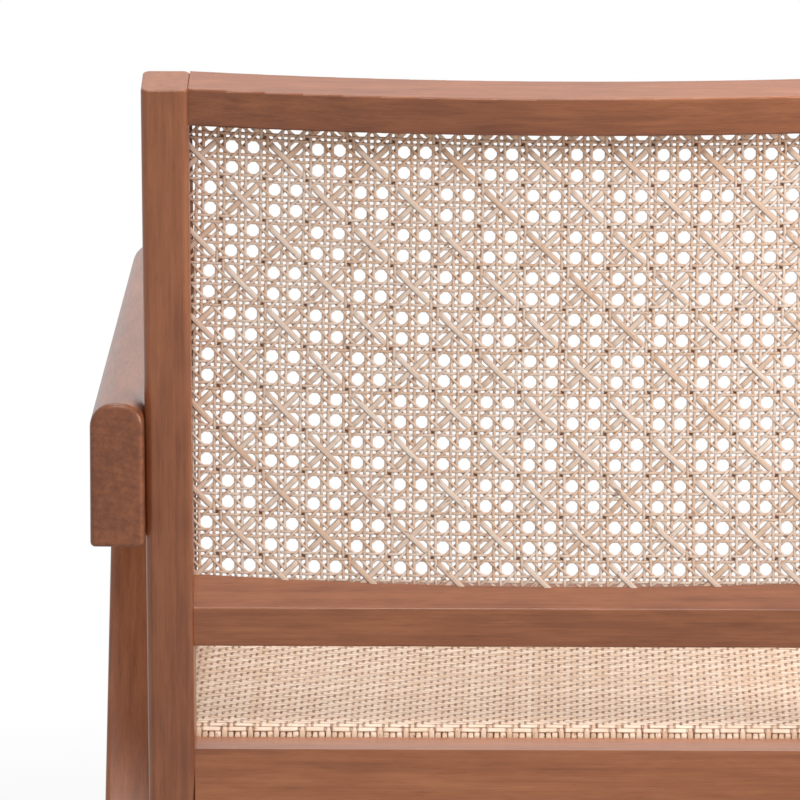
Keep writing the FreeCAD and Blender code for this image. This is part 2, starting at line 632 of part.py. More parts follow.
def make_arm():
    """Upright arm board with a rounded top."""
    arm = body("left_arm", "upright")
    front = "(%s - arm_length)" % ARM_REAR
    corners = ((ARM_REAR, ARM_BOTTOM), (ARM_REAR, "arm_top"), (front, "arm_top"),
               (front, ARM_BOTTOM + " + arm_nose_rise"), (FRONT_LEG_FRONT, ARM_BOTTOM))
    pad(arm, outline(arm, "YZ", corners, OUTER), "arm_thickness")
    nose = value(front)
    high = value("arm_top")
    sides = (value(OUTER), value(OUTER + " + arm_thickness"))
    rear = value(ARM_REAR)
    shoulder = value("arm_top - arm_round") - SMALL

    def sharp_edge(edge):
        on_side = any(lies_at(edge, "X", side) for side in sides)
        return lies_at(edge, "Y", nose) or on_side and edge.BoundBox.ZMax < shoulder

    def lower_nose_edge(edge):
        return runs_along(edge, AXES["X"]) and lies_at(edge, "Y", nose) and edge.BoundBox.ZMax < shoulder

    soften(arm, "arm_nose_round", lower_nose_edge)
    soften(arm, "arm_round", lambda edge: lies_at(edge, "Z", high) and runs_along(edge, AXES["Y"]))
    soften(arm, "arm_lower_round", sharp_edge)
    soften(arm, "arm_end_round", lambda edge: lies_at(edge, "Y", rear))
    middle = "(%s + arm_thickness / 2)" % OUTER
    dowels = [(middle, place) for place in REAR_LEG_DOWELS + FRONT_LEG_DOWELS]
    pocket(arm, discs(arm, "XY", dowels, "dowel_diameter", ARM_BOTTOM), "dowel_length / 2", True)
    bolts = []
    for depth, rise in ARM_BOLTS:
        bolts.append(("(%s - (%s))" % (back_y(depth, rise), SHIFT), back_z(depth, rise)))
    pocket(arm, discs(arm, "YZ", bolts, "insert_diameter", OUTER), "insert_length", True)
    mirror(arm, "right_arm")


def make_leg(name, corners, places, dowel_ys):
    """Tapered leg board, with the holes for its dowels and inserts."""
    leg = body("left_" + name, "upright")
    pad(leg, outline(leg, "YZ", corners, OUTER), "leg_thickness")
    top = value(ARM_BOTTOM)
    joint = value(LEG_JOINT)

    def long_edge(edge):
        flat = lies_at(edge, "X", value(OUTER)) or lies_at(edge, "X", value(OUTER + " + leg_thickness"))
        return flat and not lies_at(edge, "Z", top) and not lies_at(edge, "Y", joint)

    soften(leg, "leg_round", long_edge)
    middle = "(%s + leg_thickness / 2)" % OUTER
    holes = discs(leg, "XY", [(middle, place) for place in dowel_ys], "dowel_diameter", ARM_BOTTOM)
    pocket(leg, holes, "dowel_length / 2")
    pocket(leg, discs(leg, "YZ", places, "insert_diameter", OUTER), "insert_length", True)
    mirror(leg, "right_" + name)


def make_legs():
    """The two boards of each inverted V."""
    crotch = "(%s - crotch_drop)" % ARM_BOTTOM
    rear = ((REAR_LEG_BACK, ARM_BOTTOM), (LEG_JOINT, ARM_BOTTOM), (LEG_JOINT, crotch),
            ("(%s - rear_foot_width)" % REAR_FOOT, "glide_height"), (REAR_FOOT, "glide_height"))
    front = ((LEG_JOINT, ARM_BOTTOM), (FRONT_LEG_FRONT, ARM_BOTTOM), (FRONT_FOOT, "glide_height"),
             ("(%s + front_foot_width)" % FRONT_FOOT, "glide_height"), (LEG_JOINT, crotch))
    make_leg("rear_leg", rear, leg_bolt_places(False), REAR_LEG_DOWELS)
    make_leg("front_leg", front, leg_bolt_places(True), FRONT_LEG_DOWELS)
    for name, foot, width, sign in (("rear_glide", REAR_FOOT, "rear_foot_width", "-"),
                                    ("front_glide", FRONT_FOOT, "front_foot_width", "+")):
        place = ("%s + leg_thickness / 2" % OUTER, "%s + %s %s %s / 2" % (SHIFT, foot, sign, width), "0")
        glide = node(cylinder("left_" + name, "glide_diameter", "glide_height", place), "left_" + name)
        mirror(glide, "right_" + name)


def make_side_rail():
    """Side seat rail, from the front face of its post to the front of the seat."""
    rail = body("left_seat_rail", "seat")
    foot = "((-post_depth - seat_rail_height * sin%s) / cos%s)" % (SEAT_TILT, SEAT_TILT)
    corners = ((POST_FRONT, "0"), ("-seat_depth", "0"), ("-seat_depth", "-seat_rail_height"),
               (foot, "-seat_rail_height"))
    pad(rail, outline(rail, "YZ", corners, RAIL_INNER), "side_rail_thickness")
    front = value("-seat_depth")
    soften(rail, "front_rail_round", lambda edge: lies_at(edge, "Y", front) and lies_at(edge, "Z", 0))
    soften(rail, "rail_round", lambda edge: runs_along(edge, AXES["Y"]))
    wall = CANE_SIDE_EDGE + " - seat_groove_width"
    for low, high in (((wall, CANE_FRONT_EDGE), (CANE_SIDE_EDGE, CANE_REAR_EDGE)),
                      ((RAIL_INNER, CANE_FRONT_EDGE), (wall, CANE_FRONT_EDGE + " + seat_groove_width")),
                      ((RAIL_INNER, CANE_REAR_EDGE + " - seat_groove_width"), (wall, CANE_REAR_EDGE))):
        pocket(rail, box_outline(rail, "XY", low, high), "seat_groove_depth")
    places = [to_seat(y_text, z_text) for y_text, z_text in LEG_BOLTS]
    for centres, diameter, depth in ((FRONT_DOWELS, "dowel_diameter", "dowel_length / 2"),
                                     (places, "bolt_diameter", "side_rail_thickness"),
                                     (places, "bolt_head_diameter", "bolt_head_height"),
                                     (SIDE_SCREWS, "screw_diameter", SCREW_PILOT)):
        pocket(rail, discs(rail, "YZ", centres, diameter, RAIL_INNER), depth, True)
    low = ("-seat_depth / 2 - brace_width / 2", "-brace_drop - brace_thickness")
    high = ("-seat_depth / 2 + brace_width / 2", "-brace_drop")
    pocket(rail, box_outline(rail, "YZ", low, high, RAIL_INNER), "brace_tenon", True)
    mirror(rail, "right_seat_rail")


def make_cross_rail(name, low, high, half, groove, dowels):
    """Rear or front seat rail, with its cane groove and dowel holes."""
    rail = body(name, "seat")
    base = box_outline(rail, "XY", ("-(%s)" % half, low), (half, high), "-seat_rail_height")
    pad(rail, base, "seat_rail_height")
    if name == "seat_front_rail":
        front = value(low)
        soften(rail, "front_rail_round", lambda edge: lies_at(edge, "Y", front) and lies_at(edge, "Z", 0))
    soften(rail, "rail_round", lambda edge: runs_along(edge, AXES["X"]) and edge.BoundBox.ZMin < 0)
    channel = box_outline(rail, "XY", ("-(%s)" % half, groove[0]), (half, groove[1]))
    pocket(rail, channel, "seat_groove_depth")
    for level, forwards in ((half, False), ("-(%s)" % half, True)):
        pocket(rail, discs(rail, "YZ", dowels, "dowel_diameter", level), "dowel_length / 2", forwards)
    across = "(%s - %s)" % (RAIL_INNER, SCREW_NEAR)
    screws = [(side + across, CROSS_SCREW_RISE) for side in ("", "-")]
    inner_face = low if name == "seat_rear_rail" else high
    pilots = discs(rail, "XZ", screws, "screw_diameter", "-(%s)" % inner_face)
    pocket(rail, pilots, SCREW_PILOT, name == "seat_front_rail")


def make_seat_frame():
    """Rails, cross brace and corner blocks of the seat."""
    make_side_rail()
    make_cross_rail("seat_rear_rail", REAR_RAIL_FACE, "-rear_rail_inset", "inner_width / 2",
                    (CANE_REAR_EDGE + " - seat_groove_width", CANE_REAR_EDGE), REAR_DOWELS)
    make_cross_rail("seat_front_rail", "-seat_depth", FRONT_RAIL_FACE, RAIL_INNER,
                    (CANE_FRONT_EDGE, CANE_FRONT_EDGE + " + seat_groove_width"), FRONT_DOWELS)
    brace = body("seat_brace", "seat")
    low = ("-%s - brace_tenon + fit_gap" % RAIL_INNER, "-seat_depth / 2 - brace_width / 2")
    high = ("%s + brace_tenon - fit_gap" % RAIL_INNER, "-seat_depth / 2 + brace_width / 2")
    pad(brace, box_outline(brace, "XY", low, high, "-brace_drop"), "brace_thickness", backwards=True)
    for index, (end, face, sign) in enumerate(BLOCK_ENDS):
        name = end + "_corner_block"
        block = body("left_" + name, "seat")
        tip = "(%s %s block_size)" % (face, sign)
        inner = "(%s - block_size)" % RAIL_INNER
        corners = ((RAIL_INNER, face), (RAIL_INNER, tip), (inner, face))
        pad(block, outline(block, "XY", corners, "-block_drop"), "block_height", backwards=True)
        across = [("(%s - %s)" % (RAIL_INNER, SCREW_NEAR), CROSS_SCREW_RISE)]
        bored = "(%s + screw_head_height)" % SCREW_NEAR
        for diameter, depth in (("screw_diameter", "block_size"), ("screw_head_diameter", bored)):
            pocket(block, discs(block, "YZ", SIDE_SCREWS[index:index + 1], diameter, inner), depth, True)
            pocket(block, discs(block, "XZ", across, diameter, "-%s" % tip), depth, end == "front")
        mirror(block, "right_" + name)


def crowned_solid(inset, lower):
    """Solid under the seat cane's face, inset all round and lowered."""
    half = value(CANE_SIDE_EDGE + " - fit_gap") - inset
    front = value(CANE_FRONT_EDGE + " + fit_gap") + inset
    rear = value(CANE_REAR_EDGE + " - fit_gap") - inset
    run = value("seat_crown_run")
    bottom = value("-seat_groove_depth + fit_gap")
    levels = ((bottom, 0), (0, 0), (value("seat_crown") - lower, run))
    wires = []
    for level, step in levels:
        corners = [(-half + step, front + step), (half - step, front + step),
                   (half - step, rear - step), (-half + step, rear - step)]
        points = [FreeCAD.Vector(x, y, level) for x, y in corners]
        wires.append(Part.makePolygon(points + points[:1]))
    return Part.makeLoft(wires, True, True)


def make_seat_cane():
    """Closely woven seat sheet: it rises out of its grooves and spans the seat frame."""
    thickness = value("seat_cane_thickness")
    solid = crowned_solid(0, 0).cut(crowned_solid(thickness, thickness))
    item = document.addObject("Part::Feature", "sheet_seat_cane")
    item.Shape = solid.Solids[0]
    stand(item, "seat")
    node(item, "seat_cane")


def make_seat_splines():
    """Reed splines that hold the seat cane in its grooves."""
    inner = "(seat_cane_thickness + 2 * fit_gap)"
    across = "(%s - %s)" % (CANE_SIDE_EDGE, inner)
    rear = "(%s - %s)" % (CANE_REAR_EDGE, inner)
    front = "(%s + %s)" % (CANE_FRONT_EDGE, inner)
    side = body("left_seat_spline", "seat")
    level = "(-seat_groove_depth + fit_gap)"
    profile = box_outline(side, "XY", (across + " - seat_spline_thickness", front), (across, rear), level)
    pad(side, profile, "seat_spline_height")
    mirror(side, "right_seat_spline")
    length = "(%s - seat_spline_thickness - fit_gap)" % across
    for name, low, high in (("rear_seat_spline", rear + " - seat_spline_thickness", rear),
                            ("front_seat_spline", front, front + " + seat_spline_thickness")):
        strip = body(name, "seat")
        profile = box_outline(strip, "XY", ("-" + length, low), (length, high), level)
        pad(strip, profile, "seat_spline_height")


def make_dowels():
    """Beech dowels of the back, the seat and the arms."""
    inner = "inner_width / 2"
    back = [(back_y(depth, rise), back_z(depth, rise)) for depth, rise in TOP_DOWELS + LOWER_DOWELS]
    both_sides("back_rail_dowels", dowels_across("back_dowel", back, inner))
    rear = [(seat_y(depth, rise), seat_z(depth, rise)) for depth, rise in REAR_DOWELS]
    front = [(seat_y(depth, rise), seat_z(depth, rise)) for depth, rise in FRONT_DOWELS]
    seat = dowels_across("rear_dowel", rear, inner) + dowels_across("front_dowel", front, RAIL_INNER)
    both_sides("seat_rail_dowels", seat)
    upright = []
    level = "%s - dowel_length / 2" % ARM_BOTTOM
    for index, y_text in enumerate(REAR_LEG_DOWELS + FRONT_LEG_DOWELS):
        place = ("%s + arm_thickness / 2" % OUTER, "%s + %s" % (SHIFT, y_text), level)
        upright.append(cylinder("arm_dowel_%d" % index, "dowel_diameter", "dowel_length", place))
    both_sides("arm_dowels", upright)


def bolt(name, place):
    """Connector bolt along X, whose round head has a socket."""
    shank_place = ("(%s) + bolt_head_height" % place[0], place[1], place[2])
    shank = cylinder(name + "_shank", "bolt_diameter", "bolt_length", shank_place, "Y", "90")
    head = cylinder(name + "_head", "bolt_head_diameter", "bolt_head_height", place, "Y", "90")
    hollow = cylinder(name + "_socket", "bolt_socket", "bolt_head_height / 2", place, "Y", "90")
    joined = document.addObject("Part::Fuse", name + "_joined")
    joined.Base = head
    joined.Tool = shank
    item = document.addObject("Part::Cut", name)
    item.Base = joined
    item.Tool = hollow
    return item


def insert(name, place):
    """Threaded insert along X, as a plain sleeve round the bolt's tip."""
    outside = cylinder(name + "_outside", "insert_diameter", "insert_length", place, "Y", "90")
    inside = cylinder(name + "_inside", "bolt_diameter", "insert_length", place, "Y", "90")
    item = document.addObject("Part::Cut", name)
    item.Base = outside
    item.Tool = inside
    return item


def make_bolts():
    """Connector bolts and inserts, from the posts into the arms and from the side rails into the legs."""
    arm_places = [(back_y(depth, rise), back_z(depth, rise)) for depth, rise in ARM_BOLTS]
    leg_places = [("%s + %s" % (SHIFT, y_text), z_text) for y_text, z_text in LEG_BOLTS]
    for kind, places, start in (("arm", arm_places, "inner_width / 2"), ("leg", leg_places, RAIL_INNER)):
        bolts = []
        sleeves = []
        for index, (y_text, z_text) in enumerate(places):
            bolts.append(bolt("%s_bolt_%d" % (kind, index), (start, y_text, z_text)))
            sleeves.append(insert("%s_insert_%d" % (kind, index), (OUTER, y_text, z_text)))
        both_sides(kind + "_bolts", bolts)
        both_sides(kind + "_inserts", sleeves)


def screw(name, place, turn_axis, turn):
    """Countersunk screw, whose axis is Z turned about an axis."""
    shank = cylinder(name + "_shank", "screw_diameter", "screw_length", place, turn_axis, turn)
    head = document.addObject("Part::Cone", name + "_head")
    bind(head, "Radius1", "screw_head_diameter / 2")
    bind(head, "Radius2", "screw_diameter / 2")
    bind(head, "Height", "screw_head_height")
    head.Placement = shank.Placement
    bind(head, "Placement.Rotation.Angle", turn)
    for axis, text in zip("xyz", place):
        bind(head, "Placement.Base." + axis, text)
    item = document.addObject("Part::Fuse", name)
    item.Base = shank
    item.Tool = head
    return item


def make_block_screws():
    """Two screws in each corner block: one into the side rail and one into the cross rail."""
    screws = []
    for index, (end, face, sign) in enumerate(BLOCK_ENDS):
        depth, rise = SIDE_SCREWS[index]
        place = ("%s - %s" % (RAIL_INNER, SCREW_DEEP), seat_y(depth, rise), seat_z(depth, rise))
        screws.append(screw("%s_side_screw" % end, place, "Y", "90"))
        depth = "(%s %s %s)" % (face, sign, SCREW_DEEP)
        rise = CROSS_SCREW_RISE
        place = ("%s - %s" % (RAIL_INNER, SCREW_NEAR), seat_y(depth, rise), seat_z(depth, rise))
        turn = "90 + seat_slope" if end == "rear" else "270 + seat_slope"
        screws.append(screw("%s_cross_screw" % end, place, "-X", turn))
    both_sides("corner_block_screws", screws)


def check_and_write():
    """Stop on a failed object, then write each piece to its file."""
    document.recompute()
    for item in document.Objects:
        if "Invalid" in item.State or "Error" in item.State:
            raise RuntimeError("%s failed: %s" % (item.Label, item.State))
    for name, item in nodes.items():
        shape = item.Shape
        if shape.isNull() or not shape.isValid() or not shape.Solids:
            raise RuntimeError("%s has no valid solid" % name)
    os.makedirs("parts", exist_ok=True)
    for name, item in sorted(nodes.items()):
        item.Shape.exportStep(os.path.join("parts", name + ".step"))
        box = item.Shape.BoundBox
        print("%-24s %2d solids  %8.0f mm3  X %7.1f %7.1f  Y %7.1f %7.1f  Z %6.1f %6.1f" % (
            name, len(item.Shape.Solids), item.Shape.Volume,
            box.XMin, box.XMax, box.YMin, box.YMax, box.ZMin, box.ZMax))


make_post()
make_top_rail()
make_lower_rail()
make_back_cane()
make_back_splines()
make_arm()
make_legs()
make_seat_frame()
make_seat_cane()
make_seat_splines()
make_dowels()
make_bolts()
make_block_screws()
check_and_write()
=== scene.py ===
"""Looks of a wooden lounge armchair with a bowed open-cane back and a twill cane seat."""

import logging
import math
from dataclasses import dataclass, field
from enum import Enum
from typing import Any, Mapping, Sequence

import bpy
import numpy as np
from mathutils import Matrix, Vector


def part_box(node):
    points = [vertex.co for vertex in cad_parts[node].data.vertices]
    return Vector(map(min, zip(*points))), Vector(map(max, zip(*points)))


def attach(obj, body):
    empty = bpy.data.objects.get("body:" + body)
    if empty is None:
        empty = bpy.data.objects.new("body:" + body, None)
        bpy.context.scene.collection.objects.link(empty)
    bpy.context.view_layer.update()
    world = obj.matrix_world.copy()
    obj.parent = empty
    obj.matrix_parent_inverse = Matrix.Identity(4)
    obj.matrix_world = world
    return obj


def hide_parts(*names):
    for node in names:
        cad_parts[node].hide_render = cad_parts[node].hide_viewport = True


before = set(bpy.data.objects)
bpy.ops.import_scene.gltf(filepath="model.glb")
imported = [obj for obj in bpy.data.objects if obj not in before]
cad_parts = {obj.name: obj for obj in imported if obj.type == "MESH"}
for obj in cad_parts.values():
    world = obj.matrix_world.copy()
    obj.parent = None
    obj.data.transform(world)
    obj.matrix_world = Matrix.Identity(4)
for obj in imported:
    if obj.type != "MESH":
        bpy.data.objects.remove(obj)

BODY = "root"
SEED = 20261

RECLINE = math.radians(9.3)
SEAT_SLOPE = math.radians(2.0)
DATUM = (0.237825, 0.352)

MIX_FACTOR, MIX_A, MIX_B, MIX_RESULT = 0, 6, 7, 2
FIRST_OUTPUT, SECOND_OUTPUT = 0, 1
NOISE_MEAN = 0.5

Colour = tuple[int, int, int]
Triple = tuple[float, float, float]

ACROSS: Triple = (1.0, 0.0, 0.0)
UP_THE_BACK: Triple = (0.0, math.sin(RECLINE), math.cos(RECLINE))
BACK_ALONG_SEAT: Triple = (0.0, math.cos(SEAT_SLOPE), -math.sin(SEAT_SLOPE))

log = logging.getLogger("armchair")


def stain(colour: Colour) -> tuple[float, float, float, float]:
    """Turn a display colour into a shader colour.

    Args:
        colour: red, green and blue, 0 to 255.

    Returns:
        The linear colour with full alpha.
    """
    def linear(level: int) -> float:
        """Give one channel's linear value."""
        share = level / 255
        return share / 12.92 if share <= 0.04045 else ((share + 0.055) / 1.055) ** 2.4

    red, green, blue = colour
    return (linear(red), linear(green), linear(blue), 1.0)


class Socket:
    """A shader value on which sums add Math nodes."""

    def __init__(self, graph: "Graph", socket: bpy.types.NodeSocket) -> None:
        """Keep the socket and the graph that owns it."""
        self.graph = graph
        self.socket = socket

    def __add__(self, other: "Socket | float") -> "Socket":
        """Add two values."""
        return self.graph.maths("ADD", self, other)

    __radd__ = __add__

    def __sub__(self, other: "Socket | float") -> "Socket":
        """Take another value from this one."""
        return self.graph.maths("SUBTRACT", self, other)

    def __rsub__(self, other: float) -> "Socket":
        """Take this value from a number."""
        return self.graph.maths("SUBTRACT", other, self)

    def __mul__(self, other: "Socket | float") -> "Socket":
        """Multiply two values."""
        return self.graph.maths("MULTIPLY", self, other)

    __rmul__ = __mul__

    def __pow__(self, other: float) -> "Socket":
        """Raise this value to a power."""
        return self.graph.maths("POWER", self, other)

    def beside(self, name: str) -> "Socket":
        """Give another output of the same node."""
        return Socket(self.graph, self.socket.node.outputs[name])

    def limited(self) -> "Socket":
        """Keep the value between 0 and 1."""
        return self.graph.node("ShaderNodeClamp", inputs={"Value": self})

    def sine(self) -> "Socket":
        """Give the sine of the value."""
        return self.graph.maths("SINE", self, 0.0)

    def swing(self, weight: float) -> "Socket":
        """Centre a noise on 0 and weigh it."""
        return (self - NOISE_MEAN) * weight


@dataclass(frozen=True)
class Layer:
    """A layer of noise: features per metre along and across the grain, its detail and its weight."""

    along: float
    across: float
    detail: float = 2.0
    roughness: float = 0.5
    weight: float = 1.0


class Graph:
    """The node tree of one material or world."""

    def __init__(self, owner: bpy.types.Material | bpy.types.World) -> None:
        """Take the owner's tree over, with no nodes in it.

        Args:
            owner: the material or world.
        """
        self.owner = owner
        owner.use_nodes = True
        self.tree = owner.node_tree
        self.tree.nodes.clear()

    @classmethod
    def of_material(cls, name: str) -> "Graph":
        """Start a new material of that name."""
        return cls(bpy.data.materials.new(name))

    def node(self, kind: str, settings: Mapping[str, Any] | None = None,
             inputs: Mapping[str | int, Any] | None = None, output: str | int = FIRST_OUTPUT) -> Socket:
        """Add one node.

        Args:
            kind: the node's type.
            settings: its settings, with a ramp's stops as (place, colour) pairs.
            inputs: values or links of its sockets, by name or index.
            output: the output that is wanted.

        Returns:
            That output.
        """
        made = self.tree.nodes.new(kind)
        for name, value in (settings or {}).items():
            if name == "stops":
                ramp = made.color_ramp
                for place, colour in value[len(ramp.elements):]:
                    ramp.elements.new(place)
                for element, (place, colour) in zip(ramp.elements, value):
                    element.position = place
                    element.color = colour
            else:
                setattr(made, name, value)
        for name, value in (inputs or {}).items():
            if isinstance(value, Socket):
                self.tree.links.new(value.socket, made.inputs[name])
            else:
                made.inputs[name].default_value = value
        return Socket(self, made.outputs[output]) if made.outputs else Socket(self, None)

    def seen(self) -> Socket:
        """Say whether a ray comes from the camera, straight or by way of metal or glass."""
        path = self.node("ShaderNodeLightPath", output="Is Camera Ray")
        return (path + path.beside("Is Glossy Ray") + path.beside("Is Transmission Ray")).limited()

    def maths(self, operation: str, first: Socket | float, second: Socket | float) -> Socket:
        """Add a Math node for two values."""
        return self.node("ShaderNodeMath", {"operation": operation}, {0: first, 1: second})

    def mix(self, share: Socket | float, first: Any, second: Any) -> Socket:
        """Mix two colours by a share."""
        return self.node("ShaderNodeMix", {"data_type": "RGBA"},
                         {MIX_FACTOR: share, MIX_A: first, MIX_B: second}, MIX_RESULT)

    def ramp(self, value: Socket, stops: Sequence[tuple[float, Any]]) -> Socket:
        """Turn a value into a colour through stops."""
        return self.node("ShaderNodeValToRGB", {"stops": stops}, {"Fac": value})

    def step(self, value: Socket, edge: tuple[float, float]) -> Socket:
        """Rise smoothly from 0 to 1 as a value goes through the edge, from its low to its high end."""
        return self.node("ShaderNodeMapRange", {"interpolation_type": "SMOOTHSTEP"},
                         {"Value": value, "From Min": edge[0], "From Max": edge[1]})

    def noise(self, place: Socket, detail: float = 2.0, roughness: float = 0.5) -> Socket:
        """Add noise whose features are one unit of the place wide."""
        return self.node("ShaderNodeTexNoise", None,
                         {"Vector": place, "Scale": 1.0, "Detail": detail, "Roughness": roughness})

    def layer(self, layer: Layer, axes: tuple[Socket, Socket, Socket]) -> Socket:
        """Add a layer of noise.

        Args:
            layer: the layer.
            axes: the place along the grain and two ways across it.

        Returns:
            The noise.
        """
        along, side, deep = axes
        place = self.vector(along * layer.along, side * layer.across, deep * layer.across)
        return self.noise(place, layer.detail, layer.roughness)

    def position(self) -> Socket:
        """Give the place on the object, in metres in the chair's frame."""
        return self.node("ShaderNodeTexCoord", output="Object")

    def along(self, place: Socket, axis: Sequence[float]) -> Socket:
        """Measure a place along an axis."""
        return self.node("ShaderNodeVectorMath", {"operation": "DOT_PRODUCT"},
                         {0: place, 1: tuple(axis)}, SECOND_OUTPUT)

    def scaled(self, place: Socket, scale: Triple) -> Socket:
        """Scale a place by its own factor along each axis."""
        return self.node("ShaderNodeVectorMath", {"operation": "MULTIPLY"}, {0: place, 1: scale})

    def vector(self, x: Any, y: Any, z: Any) -> Socket:
        """Join three values to a vector."""
        return self.node("ShaderNodeCombineXYZ", None, {0: x, 1: y, 2: z})

    def bump(self, height: Socket, depth: float, strength: float = 1.0) -> Socket:
        """Turn a height into a normal."""
        return self.node("ShaderNodeBump", None, {"Height": height, "Distance": depth, "Strength": strength})

    def finish(self, **sockets: Any) -> bpy.types.Material:
        """End the material with a principled surface.

        Args:
            sockets: values or links of the surface's sockets, with _ for each space.

        Returns:
            The material.
        """
        surface = self.node("ShaderNodeBsdfPrincipled", None,
                            {name.replace("_", " "): value for name, value in sockets.items()})
        self.node("ShaderNodeOutputMaterial", None, {"Surface": surface})
        return self.owner


def unit(vector: Sequence[float]) -> Vector:
    """Give a vector of length 1."""
    return Vector(vector).normalized()


class Grain(Enum):
    """The way the grain runs in a board."""

    ACROSS = ACROSS
    DEPTH = (0.0, 1.0, 0.0)
    BACK = UP_THE_BACK
    SEAT = BACK_ALONG_SEAT
    REAR_LEG = (0.0, -0.48, 0.877)
    FRONT_LEG = (0.0, 0.30, 0.954)

    def axes(self) -> tuple[Vector, Vector, Vector]:
        """Give the directions of a board.

        Returns:
            The axis along the grain and two axes square to it.
        """
        along = unit(self.value)
        side = Vector((0, 0, 1)) if self is Grain.ACROSS else Vector((1, 0, 0))
        return along, side, along.cross(side)


@dataclass(frozen=True)
class Board:
    """How one wooden node was sawn and how its stain took; for a few boards in view the tone also stands
    partly for light and shade.
    """

    node: str
    grain: Grain
    pith: tuple[float, float]
    drift: float = 0.0
    tone: float = 0.0


@dataclass(frozen=True)
class StainedWood:
    """Straight-grained hardwood under a stain, with or without a satin lacquer."""

    name: str
    dark: Colour
    middle: Colour
    light: Colour
    pore: Colour
    roughness: float
    coat: float
    sheen: float = 0.4
    coat_roughness: float = 0.2
    lift: float = 0.52
    stops: Triple = (0.18, 0.5, 0.84)
    patches: Layer = Layer(3.0, 16.0, weight=0.55)
    clouds: Layer = Layer(1.6, 5.0, weight=0.62)
    mottle: Layer = Layer(24.0, 150.0, 3.0, 0.55, 0.50)
    streaks: Layer = Layer(7.0, 420.0, 4.0, 0.62, 0.42)
    fibres: Layer = Layer(42.0, 1700.0, 2.0, 0.6, 0.24)
    ring_spacing: float = 0.0046
    ring_wander: float = 4.0
    wobble: Layer = Layer(2.4, 22.0, weight=0.016)
    late_sharpness: float = 2.5
    late_weight: float = 0.05
    pores: Layer = Layer(75.0, 2300.0, 1.0, weight=0.30)
    pore_edge: tuple[float, float] = (0.60, 0.72)
    streak_gloss: float = 0.12
    pore_gloss: float = 0.1
    relief_weights: Triple = (0.5, 0.3, 0.05)
    relief_depth: float = 0.00010
    relief_strength: float = 0.4

    def on(self, board: Board) -> bpy.types.Material:
        """Make the finish for one board.

        Args:
            board: the board that it goes on.

        Returns:
            The material.
        """
        graph = Graph.of_material(f"{self.name}_{board.node}")
        place = graph.position()
        along, side, deep = (graph.along(place, axis) for axis in board.grain.axes())
        axes = (along + board.drift, side, deep)
        patches, clouds, mottle, streaks, fibres, wobble, specks = (
            graph.layer(layer, axes) for layer in (self.patches, self.clouds, self.mottle, self.streaks,
                                                   self.fibres, self.wobble, self.pores))
        pores = graph.step(specks, self.pore_edge)

        off_side = side - board.pith[0]
        off_deep = deep - board.pith[1]
        radius = (off_side * off_side + off_deep * off_deep) ** 0.5 + wobble.swing(self.wobble.weight)
        turns = radius * (2 * math.pi / self.ring_spacing) + patches * self.ring_wander
        rings = turns.sine() * 0.5 + 0.5

        value = self.lift + board.tone - rings ** self.late_sharpness * self.late_weight
        for noise, layer in ((streaks, self.streaks), (patches, self.patches), (clouds, self.clouds),
                             (mottle, self.mottle), (fibres, self.fibres)):
            value = value + noise.swing(layer.weight)
        tones = (self.dark, self.middle, self.light)
        colour = graph.ramp(value, tuple((stop, stain(tone)) for stop, tone in zip(self.stops, tones)))
        colour = graph.mix(pores * self.pores.weight, colour, stain(self.pore))

        of_fibres, of_pores, of_rings = self.relief_weights
        relief = fibres * of_fibres - pores * of_pores + rings * of_rings
        roughness = self.roughness + streaks.swing(self.streak_gloss) + pores * self.pore_gloss
        return graph.finish(Base_Color=colour, Roughness=roughness, Specular_IOR_Level=self.sheen,
                            Normal=graph.bump(relief, self.relief_depth, self.relief_strength),
                            Coat_Weight=self.coat, Coat_Roughness=self.coat_roughness)


@dataclass(frozen=True)
class CaneTones:
    """The colours of one sheet's cane: its face, its darker face, which also takes the painted shade near
    the rails, its edges, partly painted shade, and its darkest spots, which also give the painted shade
    where it tucks under.
    """

    pale: Colour
    tan: Colour
    edge: Colour
    spot_and_shade: Colour


